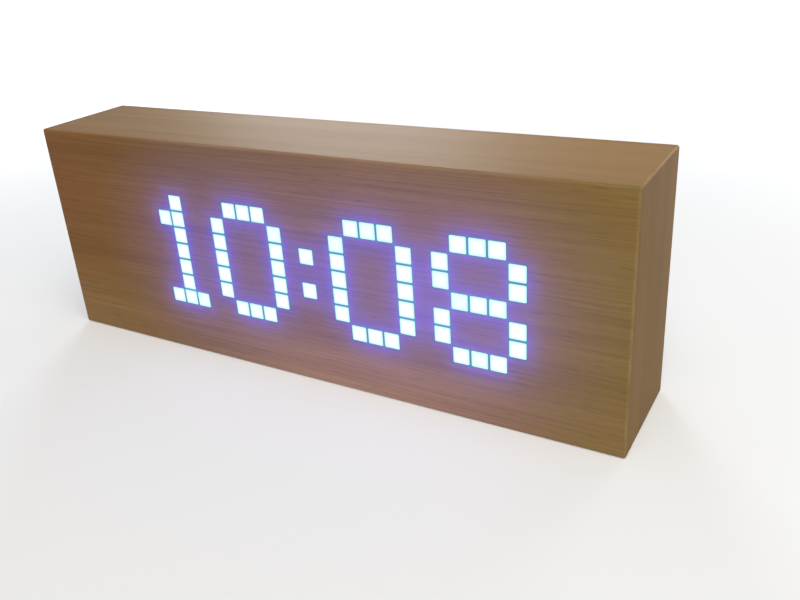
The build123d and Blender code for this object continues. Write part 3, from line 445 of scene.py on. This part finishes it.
def eased_block():
    """The whole block with all its edges rounded."""
    block = bmesh.new()
    bmesh.ops.create_cube(block, size=1.0)
    bmesh.ops.scale(block, vec=(WIDTH, DEPTH, HEIGHT), verts=block.verts)
    bmesh.ops.translate(block, vec=MIDDLE, verts=block.verts)
    bmesh.ops.bevel(block, geom=block.edges[:], offset=EASE, segments=EASE_STEPS, profile=0.5, affect="EDGES")
    return block


def saw(block, point, away):
    """Cut the block at a plane and drop what lies on the side that the arrow points to."""
    everything = block.verts[:] + block.edges[:] + block.faces[:]
    bmesh.ops.bisect_plane(block, geom=everything, plane_co=point, plane_no=away, clear_outer=True)
    rim = [edge for edge in block.edges if edge.is_boundary]
    bmesh.ops.holes_fill(block, edges=rim)


trial = eased_block()
print("eased block of", len(trial.faces), "faces,", round(trial.calc_volume() / MM ** 3), "cubic mm")
trial.free()

# %% [markdown]
# Off the bench, a sawn board becomes an object of the scene. A saw cut through a rounded edge leaves slivers,
# which are merged so that the mesh is closed. Smooth shading alone would make the big faces look pillowed, so
# a Weighted Normal modifier keeps them flat in shading, and its result becomes a plain mesh.

# %% From the bench to the scene
SLIVER = 0.005 * MM
SHARP_DEGREES = 32


def finished(name, block, material):
    """Turn the sawn block into an object with smooth edges, and close the slivers left by the saw."""
    bmesh.ops.remove_doubles(block, verts=block.verts, dist=SLIVER)
    bmesh.ops.dissolve_degenerate(block, edges=block.edges, dist=SLIVER)
    bmesh.ops.recalc_face_normals(block, faces=block.faces)
    mesh = bpy.data.meshes.new(name)
    block.to_mesh(mesh)
    block.free()
    mesh.shade_smooth()
    mesh.set_sharp_from_angle(angle=math.radians(SHARP_DEGREES))
    mesh.materials.append(material)
    piece = bpy.data.objects.new(name, mesh)
    scene.collection.objects.link(piece)
    return piece


def baked(piece):
    """Replace an object's mesh by what its modifiers make of it, and remove them."""
    graph = bpy.context.evaluated_depsgraph_get()
    mesh = bpy.data.meshes.new_from_object(piece.evaluated_get(graph))
    piece.modifiers.clear()
    piece.data = mesh
    return piece


def flat_faces(piece):
    """Keep the big faces flat in shading, so that only the rounded edges turn the light."""
    piece.modifiers.new("flat faces", "WEIGHTED_NORMAL").keep_sharp = True
    return baked(piece)


print("edges over", SHARP_DEGREES, "degrees stay sharp, slivers under", SLIVER / MM, "mm are closed")

# %% [markdown]
# The box of the clock is four boards with mitred corners, so no end grain shows. A boolean with a wedge could
# cut the mitres, but a plane cut is exact and needs no second body. Each board takes four cuts of the eased
# block: one behind the front sheet, two mitres at 45 degrees, and one for its inner face.

# %% The four boards
right_top = (WIDTH / 2, 0, HEIGHT)
left_top = (-WIDTH / 2, 0, HEIGHT)
right_low = (WIDTH / 2, 0, 0)
left_low = (-WIDTH / 2, 0, 0)


def sawn_board(node, cuts, material):
    """One board of the box, sawn behind the veneer and at the given planes."""
    block = eased_block()
    saw(block, (0, FRONT + SKIN, 0), (0, -1, 0))
    for point, away in cuts:
        saw(block, point, away)
    board = flat_faces(finished("dressed_" + node, block, material))
    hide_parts(node)
    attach(board, "case")
    return board


boards = [
    sawn_board("top_board", [(right_top, (1, 0, -1)), (left_top, (-1, 0, -1)),
                             ((0, 0, HEIGHT - BOARD), (0, 0, -1))], wood_lengthwise),
    sawn_board("bottom_board", [(right_low, (1, 0, 1)), (left_low, (-1, 0, 1)),
                                ((0, 0, BOARD), (0, 0, 1))], wood_lengthwise),
    sawn_board("left_end_board", [(left_top, (1, 0, 1)), (left_low, (1, 0, -1)),
                                  ((BOARD - WIDTH / 2, 0, 0), (1, 0, 0))], wood_upright),
    sawn_board("right_end_board", [(right_top, (-1, 0, 1)), (right_low, (-1, 0, -1)),
                                   ((WIDTH / 2 - BOARD, 0, 0), (-1, 0, 0))], wood_upright),
]
print("boards", [(board.name, len(board.data.polygons)) for board in boards])

# %% [markdown]
# The display is a matrix of seven rows, and the clock shows a time on it. A text object would give outlines
# of a typeface. Here the rows of each figure are written as dots and marks, as on squared paper, so that
# every mark is one pixel of the matrix.

# %% The figures of the time
PITCH = 6.0 * MM
FIGURES = {
    "0": [".###.", "#...#", "#...#", "#...#", "#...#", "#...#", ".###."],
    "1": [".#.", "##.", ".#.", ".#.", ".#.", ".#.", "###"],
    "8": [".###.", "#...#", "#...#", ".###.", "#...#", "#...#", ".###."],
    ":": [".", ".", "#", ".", "#", ".", "."],
}
TIME = "10:08"
FIRST_COLUMN = -9


def lit_places(text, first):
    """Centres of the lit pixels on the front face, figure by figure from the first column."""
    places = []
    column = first
    for figure in text:
        rows = FIGURES[figure]
        for row, marks in enumerate(rows):
            for step, mark in enumerate(marks):
                if mark == "#":
                    x = (column + step) * PITCH
                    z = HEIGHT / 2 + ((len(rows) - 1) / 2 - row) * PITCH
                    places.append((x, FRONT, z))
        column += len(rows[0]) + 1
    return places


lit = lit_places(TIME, FIRST_COLUMN)
print("lit pixels", len(lit))

# %% [markdown]
# A lit pixel looks like a small window of light in the wood: white in the middle, where the eye is dazzled,
# and pale blue towards its rim. Here and there an LED burns cooler than its neighbours. One material serves
# them all: folding X and Z at every pitch gives the place within a pixel, and rounding them gives its number
# in the grid, from which white noise draws how cool it is.

# %% Light of one pixel
PIXEL = 5.3 * MM
LIGHT_MIDDLE = (0.98, 0.97, 1.0, 1)
LIGHT_COOLER = (0.56, 0.90, 1.0, 1)
LIGHT_RIM = (0.46, 0.84, 1.0, 1)
RIM_FROM, RIM_TO = PIXEL * 0.27, PIXEL * 0.51
COOLER_FROM, COOLER_MOST = 0.55, 0.5
PIXEL_TONE = (0.10, 0.10, 0.12, 1)
PIXEL_ROUGHNESS = 0.4

pixel_light, light_tree, light_shader = new_finish("pixel_light")
apart = vector_node(light_tree, "SUBTRACT", object_place(light_tree), MIDDLE)
across, _, upward = wire(light_tree, "ShaderNodeSeparateXYZ", {0: apart}).outputs


def off_centre(value):
    """Distance from the middle line of the nearest pixel."""
    return math_node(light_tree, "PINGPONG", value, PITCH / 2)


def grid_number(value):
    """Which column or row of the grid a point belongs to, counted from the middle."""
    return math_node(light_tree, "ROUND", math_node(light_tree, "DIVIDE", value, PITCH))


reach_out = math_node(light_tree, "MAXIMUM", off_centre(across), off_centre(upward))
rim = band(light_tree, reach_out, RIM_FROM, RIM_TO)
number = wire(light_tree, "ShaderNodeCombineXYZ", {0: grid_number(across), 1: grid_number(upward)}).outputs[0]
draw = wire(light_tree, "ShaderNodeTexWhiteNoise", {"Vector": number}, noise_dimensions="2D")
chance = band(light_tree, draw.outputs["Value"], COOLER_FROM, 1.0)
cooler = math_node(light_tree, "MULTIPLY", chance, COOLER_MOST)
glare = blend_colour(light_tree, cooler, LIGHT_MIDDLE, LIGHT_COOLER)
glare = blend_colour(light_tree, rim, glare, LIGHT_RIM)
light_tree.links.new(glare, light_shader.inputs["Emission Color"])
light_shader.inputs["Emission Strength"].default_value = 1.0
light_shader.inputs["Base Color"].default_value = PIXEL_TONE
light_shader.inputs["Roughness"].default_value = PIXEL_ROUGHNESS
print("light of one pixel of", len(light_tree.nodes), "nodes")

# %% [markdown]
# All pixels are alike, a square tile with barely rounded corners. They could be copied in a loop, but a small
# node tree makes one and sets it on every lit place. Its inputs are the side of the pixel, the radius of its
# corners and how thick the spot of light is. The tree ends in real geometry with its material.

# %% A tree that sets pixels
CORNER_STEPS = 3
WELD = 0.001 * MM

pixel_tree = bpy.data.node_groups.new("set_pixels", "GeometryNodeTree")
pixel_tree.is_modifier = True
sockets = pixel_tree.interface
sockets.new_socket("Places", in_out="INPUT", socket_type="NodeSocketGeometry")
pixel_inputs = {name: sockets.new_socket(name, in_out="INPUT", socket_type="NodeSocketFloat").identifier
                for name in ("Side", "Corner", "Thickness")}
sockets.new_socket("Pixels", in_out="OUTPUT", socket_type="NodeSocketGeometry")
given = wire(pixel_tree, "NodeGroupInput").outputs
square = wire(pixel_tree, "GeometryNodeCurvePrimitiveQuadrilateral",
              {"Width": given["Side"], "Height": given["Side"]}).outputs[0]
soft = wire(pixel_tree, "GeometryNodeFilletCurve",
            {"Curve": square, "Radius": given["Corner"], "Count": CORNER_STEPS}, mode="POLY").outputs[0]
tile = wire(pixel_tree, "GeometryNodeFillCurve", {"Curve": soft}, mode="NGONS").outputs[0]
raised = wire(pixel_tree, "GeometryNodeExtrudeMesh",
              {"Mesh": tile, "Offset Scale": given["Thickness"], "Individual": False}).outputs["Mesh"]
underside = wire(pixel_tree, "GeometryNodeFlipFaces", {"Mesh": tile}).outputs[0]
body = wire(pixel_tree, "GeometryNodeJoinGeometry")
pixel_tree.links.new(raised, body.inputs[0])
pixel_tree.links.new(underside, body.inputs[0])
closed = wire(pixel_tree, "GeometryNodeMergeByDistance",
              {"Geometry": body.outputs[0], "Distance": WELD}).outputs[0]
drop = math_node(pixel_tree, "MULTIPLY", given["Thickness"], -1.0)
sunk = wire(pixel_tree, "ShaderNodeCombineXYZ", {"Z": drop}).outputs[0]
flush = wire(pixel_tree, "GeometryNodeTransform", {"Geometry": closed, "Translation": sunk}).outputs[0]
upright = wire(pixel_tree, "GeometryNodeTransform",
               {"Geometry": flush, "Rotation": (math.radians(90), 0, 0)}).outputs[0]
set_out = wire(pixel_tree, "GeometryNodeInstanceOnPoints",
               {"Points": given["Places"], "Instance": upright}).outputs[0]
real = wire(pixel_tree, "GeometryNodeRealizeInstances", {"Geometry": set_out}).outputs[0]
painted = wire(pixel_tree, "GeometryNodeSetMaterial", {"Geometry": real, "Material": pixel_light}).outputs[0]
wire(pixel_tree, "NodeGroupOutput", {"Pixels": painted})
print("pixel tree of", len(pixel_tree.nodes), "nodes")

# %% [markdown]
# A mesh that has only points holds the lit places. One object with these points carries the tree and becomes
# the pixels. A second one stays as it is for now: the light of the pixels is worked out from it later.

# %% Pixels on the front
PIXEL_SIZES = {"Side": PIXEL, "Corner": 0.45 * MM, "Thickness": 0.25 * MM}
dots_mesh = bpy.data.meshes.new("lit_places")
dots_mesh.from_pydata(lit, [], [])
dots = bpy.data.objects.new("lit_places", dots_mesh)
pixels = bpy.data.objects.new("lit_pixels", dots_mesh)
scene.collection.objects.link(dots)
scene.collection.objects.link(pixels)
setter = pixels.modifiers.new("set pixels", "NODES")
setter.node_group = pixel_tree
for name, value in PIXEL_SIZES.items():
    setter[pixel_inputs[name]] = value
baked(pixels)
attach(pixels, "case")
print("pixel faces", len(pixels.data.polygons))

# %% [markdown]
# The front veneer is one unbroken sheet. A picture could hold the light in it, but the points of its mesh can
# do that too, and they go with the mesh wherever it goes. So the sheet gets a net of cuts that follows the
# sides of the pixels, fine enough for the light. Its face lies a hair behind the spots of light.

# %% Front veneer
FACE_SET_BACK = 0.03 * MM
CUTS_PER_PIXEL = (-1 / 2, -1 / 6, 1 / 6, 1 / 2)


def net_lines(middle, half):
    """Places of the cuts along one axis: at both sides of every pixel of the grid, and twice within it."""
    steps = range(-int(half / PITCH) - 1, int(half / PITCH) + 2)
    lines = [middle + step * PITCH + part * PIXEL for step in steps for part in CUTS_PER_PIXEL]
    return [line for line in lines if abs(line - middle) < half]


def score(block, axis, lines):
    """Score the sheet across one axis."""
    along = Vector((0, 0, 0))
    along[axis] = 1
    for line in lines:
        everything = block.verts[:] + block.edges[:] + block.faces[:]
        bmesh.ops.bisect_plane(block, geom=everything, plane_co=along * line, plane_no=along)


sheet = eased_block()
saw(sheet, (0, FRONT + SKIN, 0), (0, 1, 0))
score(sheet, 0, net_lines(0, WIDTH / 2 - EASE))
score(sheet, 2, net_lines(HEIGHT / 2, HEIGHT / 2 - EASE))
for vert in sheet.verts:
    vert.co.y = max(vert.co.y, FRONT + FACE_SET_BACK)
veneer = flat_faces(finished("dressed_front_veneer", sheet, wood_front))
print("veneer faces", len(veneer.data.polygons))

# %% [markdown]
# Light adds up, so a loop of nodes visits every lit pixel, and each one adds its share to every point of the
# sheet. A share falls off in two ways: steeply beside the pixel, where the light leaves the wood, and gently
# further out, where it has spread along the sheet. A loop in Python would do as well, but more slowly.
# The loop also keeps the gap to the nearest pixel, for the dark rim round it.

# %% A tree that adds up the light
SPREAD = {
    "Half side": PIXEL / 2,
    "Near light": 0.26,
    "Near reach": 2.5 * MM,
    "Far light": 0.0187,
    "Far reach": 16 * MM,
}
FAR_AWAY = 1.0

glow_tree = bpy.data.node_groups.new("add_up_light", "GeometryNodeTree")
glow_tree.is_modifier = True
sockets = glow_tree.interface
sockets.new_socket("Sheet", in_out="INPUT", socket_type="NodeSocketGeometry")
glow_inputs = {name: sockets.new_socket(name, in_out="INPUT", socket_type="NodeSocketFloat").identifier
               for name in SPREAD}
sockets.new_socket("Sheet", in_out="OUTPUT", socket_type="NodeSocketGeometry")
given = wire(glow_tree, "NodeGroupInput").outputs
lamps = wire(glow_tree, "GeometryNodeObjectInfo", {"Object": dots}).outputs["Geometry"]
count = wire(glow_tree, "GeometryNodeAttributeDomainSize", {"Geometry": lamps}).outputs["Point Count"]
loop_start = glow_tree.nodes.new("GeometryNodeRepeatInput")
loop_end = glow_tree.nodes.new("GeometryNodeRepeatOutput")
loop_start.pair_with_output(loop_end)
loop_end.repeat_items.clear()
loop_end.repeat_items.new("FLOAT", "Light")
loop_end.repeat_items.new("FLOAT", "Gap")
glow_tree.links.new(count, loop_start.inputs["Iterations"])
loop_start.inputs["Gap"].default_value = FAR_AWAY
print("loop carries", [item.name for item in loop_end.repeat_items])

# %% [markdown]
# Inside the loop, the distance is taken to the side of the square and not to its middle, because a lit square
# glows evenly along its sides: the steps along X and Z beyond half a side, put together.

# %% The share of one pixel
here = wire(glow_tree, "GeometryNodeInputPosition").outputs[0]
pixel_middle = wire(glow_tree, "GeometryNodeSampleIndex",
                    {"Geometry": lamps, "Value": here, "Index": loop_start.outputs["Iteration"]},
                    data_type="FLOAT_VECTOR").outputs[0]
step = vector_node(glow_tree, "SUBTRACT", here, pixel_middle)
step = vector_node(glow_tree, "MULTIPLY", step, (1, 0, 1))
step = vector_node(glow_tree, "ABSOLUTE", step)
step = vector_node(glow_tree, "SUBTRACT", step, given["Half side"])
step = vector_node(glow_tree, "MAXIMUM", step)
away = vector_node(glow_tree, "LENGTH", step)
total = loop_start.outputs["Light"]
for part in ("Near", "Far"):
    reaches = math_node(glow_tree, "DIVIDE", away, given[part + " reach"])
    weaker = math_node(glow_tree, "POWER", math.e, reaches)
    share = math_node(glow_tree, "DIVIDE", given[part + " light"], weaker)
    total = math_node(glow_tree, "ADD", total, share)
glow_tree.links.new(total, loop_end.inputs["Light"])
glow_tree.links.new(math_node(glow_tree, "MINIMUM", loop_start.outputs["Gap"], away), loop_end.inputs["Gap"])
print("light tree of", len(glow_tree.nodes), "nodes")

# %% [markdown]
# Both results are stored on the sheet for its material, and the sheet becomes a plain mesh again.
# The faintest light is cut off, as it would be lost in the daylight on the wood.

# %% Light stored in the veneer
LOST_IN_DAYLIGHT = 0.022
felt = math_node(glow_tree, "SUBTRACT", loop_end.outputs["Light"], LOST_IN_DAYLIGHT)
felt = math_node(glow_tree, "MAXIMUM", felt, 0.0)
marked = given["Sheet"]
for name, value in (("light_level", felt), ("light_gap", loop_end.outputs["Gap"])):
    marked = wire(glow_tree, "GeometryNodeStoreNamedAttribute",
                  {"Geometry": marked, "Name": name, "Value": value},
                  data_type="FLOAT", domain="POINT").outputs[0]
whole = wire(glow_tree, "GeometryNodeRealizeInstances", {"Geometry": marked}).outputs[0]
kept = wire(glow_tree, "GeometryNodeSetMaterial", {"Geometry": whole, "Material": wood_front}).outputs[0]
wire(glow_tree, "NodeGroupOutput", {"Sheet": kept})

measure = veneer.modifiers.new("add up light", "NODES")
measure.node_group = glow_tree
for name, value in SPREAD.items():
    measure[glow_inputs[name]] = value
baked(veneer)
bpy.data.objects.remove(dots)
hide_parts("front_veneer")
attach(veneer, "case")
levels = [item.value for item in veneer.data.attributes["light_level"].data]
print("light in the veneer from", round(min(levels), 3), "to", round(max(levels), 3))

# %% [markdown]
# The other pieces keep their CAD shapes and get the finish of their real material. Moulded plastic, plated
# metal and resin are never quite even, so one recipe serves them all: a broad noise shifts the tone a little,
# and a fine one gives the gloss and the texture of the mould or the rolling mill.

# %% A recipe for plain finishes
GLOSS_RANGE = 0.06
BROAD_PATCH = 9 * MM
FINE_DETAIL, BROAD_DETAIL = 2.0, 3.0
TEXTURE_DEPTH = 0.04 * MM


def fine_finish(name, colour, roughness, metallic=0.0, grain=0.25 * MM, relief=0.15, mottle=0.12):
    """A material whose tone and gloss vary a little, with a fine moulded or rolled texture."""
    material, tree, shader = new_finish(name)
    place = object_place(tree)
    fine = wire(tree, "ShaderNodeTexNoise",
                {"Vector": place, "Scale": 1.0 / grain, "Detail": FINE_DETAIL}).outputs["Fac"]
    broad = wire(tree, "ShaderNodeTexNoise",
                 {"Vector": place, "Scale": 1.0 / BROAD_PATCH, "Detail": BROAD_DETAIL}).outputs["Fac"]
    shade = tuple(channel * (1 - mottle) for channel in colour)
    light = tuple(min(channel * (1 + mottle), 1.0) for channel in colour)
    tree.links.new(blend_colour(tree, broad, (*shade, 1), (*light, 1)), shader.inputs["Base Color"])
    swing = math_node(tree, "MULTIPLY", fine, 2 * GLOSS_RANGE)
    tree.links.new(math_node(tree, "ADD", roughness - GLOSS_RANGE, swing), shader.inputs["Roughness"])
    bump = wire(tree, "ShaderNodeBump", {"Height": fine, "Strength": relief, "Distance": TEXTURE_DEPTH})
    tree.links.new(bump.outputs[0], shader.inputs["Normal"])
    shader.inputs["Metallic"].default_value = metallic
    return material


def dress(material, *names):
    """Give CAD nodes one finish."""
    for name in names:
        slots = nodes[name].data.materials
        slots.clear()
        slots.append(material)


dress(wood_lengthwise, "rear_cover")
print("the rear cover wears", nodes["rear_cover"].data.materials[0].name)

# %% [markdown]
# Inside the box are a front board and glue blocks of raw fibreboard, and the display: a white grid of cells
# with a milky film over it, one LED in each cell, and a circuit board with its chips. Of all that this step
# dresses, only the black screws of the back are in plain sight. Plain grey would do for the rest while the
# box is closed, but the recipe gives each piece the finish of its real material in one more line.

# %% Finishes of the case and the display
raw_fibreboard = fine_finish("raw_fibreboard", (0.36, 0.22, 0.11), 0.85, grain=0.6 * MM, relief=0.4)
black_oxide = fine_finish("black_oxide", (0.018, 0.018, 0.019), 0.38, metallic=0.8)
white_moulding = fine_finish("white_moulding", (0.72, 0.72, 0.69), 0.5)
solder_mask = fine_finish("solder_mask", (0.012, 0.085, 0.030), 0.35, grain=0.8 * MM)
zinc_plate = fine_finish("zinc_plate", (0.60, 0.60, 0.57), 0.3, metallic=1.0)
chip_resin = fine_finish("chip_resin", (0.020, 0.020, 0.022), 0.6)
dress(raw_fibreboard, "front_board", "corner_blocks")
dress(black_oxide, "cover_screws", "tray_screws")
dress(white_moulding, "reflector_grid", "display_connector", "main_connector")
dress(fine_finish("milky_film", (0.75, 0.78, 0.82), 0.35), "diffuser_film")
dress(fine_finish("led_resin", (0.80, 0.83, 0.86), 0.15), "pixel_leds")
dress(solder_mask, "display_board", "main_board")
dress(zinc_plate, "display_board_screws", "main_board_screws")
dress(chip_resin, "driver_chips", "microcontroller")
dress(fine_finish("cable_jacket", (0.24, 0.25, 0.27), 0.55), "ribbon_cable")
print("finishes so far", len(bpy.data.materials))

# %% [markdown]
# The back carries the buttons, the switch, the power jack and the battery bay, mostly black plastic with a
# coarse mould texture. The buttons are a softer rubber, a shade lighter, and the contacts are bright nickel.
# Modelled dimples would be far too many for such a texture, so the recipe's bump stands in for them.

# %% Finishes of the controls and the battery bay
BUTTONS = ("mode", "set", "up", "down")
turned_brass = fine_finish("turned_brass", (0.62, 0.42, 0.14), 0.28, metallic=1.0)
nickel_plate = fine_finish("nickel_plate", (0.62, 0.60, 0.56), 0.22, metallic=1.0)
black_moulding = fine_finish("black_moulding", (0.020, 0.020, 0.022), 0.48, grain=0.35 * MM, relief=0.35)
button_rubber = fine_finish("button_rubber", (0.030, 0.030, 0.033), 0.55, relief=0.2)
plunger_resin = fine_finish("plunger_resin", (0.06, 0.06, 0.065), 0.5)
black_insulation = fine_finish("black_insulation", (0.018, 0.018, 0.018), 0.5)
dress(turned_brass, "board_standoffs")
dress(nickel_plate, "clock_crystal", "backup_cell", "battery_contacts", "dc_jack_pin", "dc_jack_nut")
dress(black_moulding, "backup_cell_holder", "alarm_buzzer", "button_housings", "slide_switch_body",
      "dc_jack_body", "battery_tray", "battery_door")
dress(button_rubber, "slide_switch_knob", *(name + "_button_cap" for name in BUTTONS))
dress(plunger_resin, *(name + "_button_plunger" for name in BUTTONS))
dress(fine_finish("red_insulation", (0.36, 0.012, 0.010), 0.5), "battery_positive_lead")
dress(black_insulation, "battery_negative_lead", "dc_jack_leads")
print("finishes on", sum(1 for node in nodes.values() if node.data.materials), "nodes")

# %% [markdown]
# A battery cell is a steel can in a thin printed sleeve. The sleeve stops short of both ends, so bare metal
# shows there, and a pale ring marks one end. The three cells are one CAD node, and bands along X in a single
# material mark them all. The middle cell lies the other way round and two millimetres along, so the height of
# a point tells first which cell it is on.

# %% Battery cells
CELLS = 3
CELL_SHIFT = 2.0 * MM
SLEEVE_HALF, SLEEVE_EDGE = 21.2 * MM, 0.1 * MM
RING_PLACE, RING_HALF = -17.5 * MM, 1.0 * MM
RING_TONE = (0.55, 0.56, 0.55, 1)
STEEL_TONE = (0.62, 0.61, 0.58, 1)
cells_low, cells_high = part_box("battery_cells")
cell_middle = (cells_low.x + cells_high.x - CELL_SHIFT) / 2
cell_height = (cells_low.z + cells_high.z) / 2
half_cell = (cells_high.z - cells_low.z) / (2 * CELLS)

sleeve = fine_finish("cell_sleeve", (0.020, 0.075, 0.110), 0.28, relief=0.05)
cell_tree = sleeve.node_tree
cell_shader = cell_tree.nodes["Principled BSDF"]
x, _, z = wire(cell_tree, "ShaderNodeSeparateXYZ", {0: object_place(cell_tree)}).outputs
from_mid = math_node(cell_tree, "ABSOLUTE", math_node(cell_tree, "SUBTRACT", z, cell_height))
is_mid = math_node(cell_tree, "LESS_THAN", from_mid, half_cell)
middle = math_node(cell_tree, "ADD", math_node(cell_tree, "MULTIPLY", is_mid, CELL_SHIFT), cell_middle)
along = math_node(cell_tree, "SUBTRACT", x, middle)
turned = math_node(cell_tree, "SUBTRACT", 1.0, math_node(cell_tree, "MULTIPLY", is_mid, 2.0))
to_plus = math_node(cell_tree, "MULTIPLY", along, turned)
steel = band(cell_tree, math_node(cell_tree, "ABSOLUTE", along), SLEEVE_HALF, SLEEVE_HALF + SLEEVE_EDGE)
ring = math_node(cell_tree, "COMPARE", to_plus, RING_PLACE)
ring.node.inputs[2].default_value = RING_HALF
ringed = blend_colour(cell_tree, ring, feeding(cell_shader, "Base Color"), RING_TONE)
cell_tree.links.new(blend_colour(cell_tree, steel, ringed, STEEL_TONE), cell_shader.inputs["Base Color"])
cell_tree.links.new(steel, cell_shader.inputs["Metallic"])
dress(sleeve, "battery_cells")
print("cell middle", round(cell_middle / MM, 2), "mm")
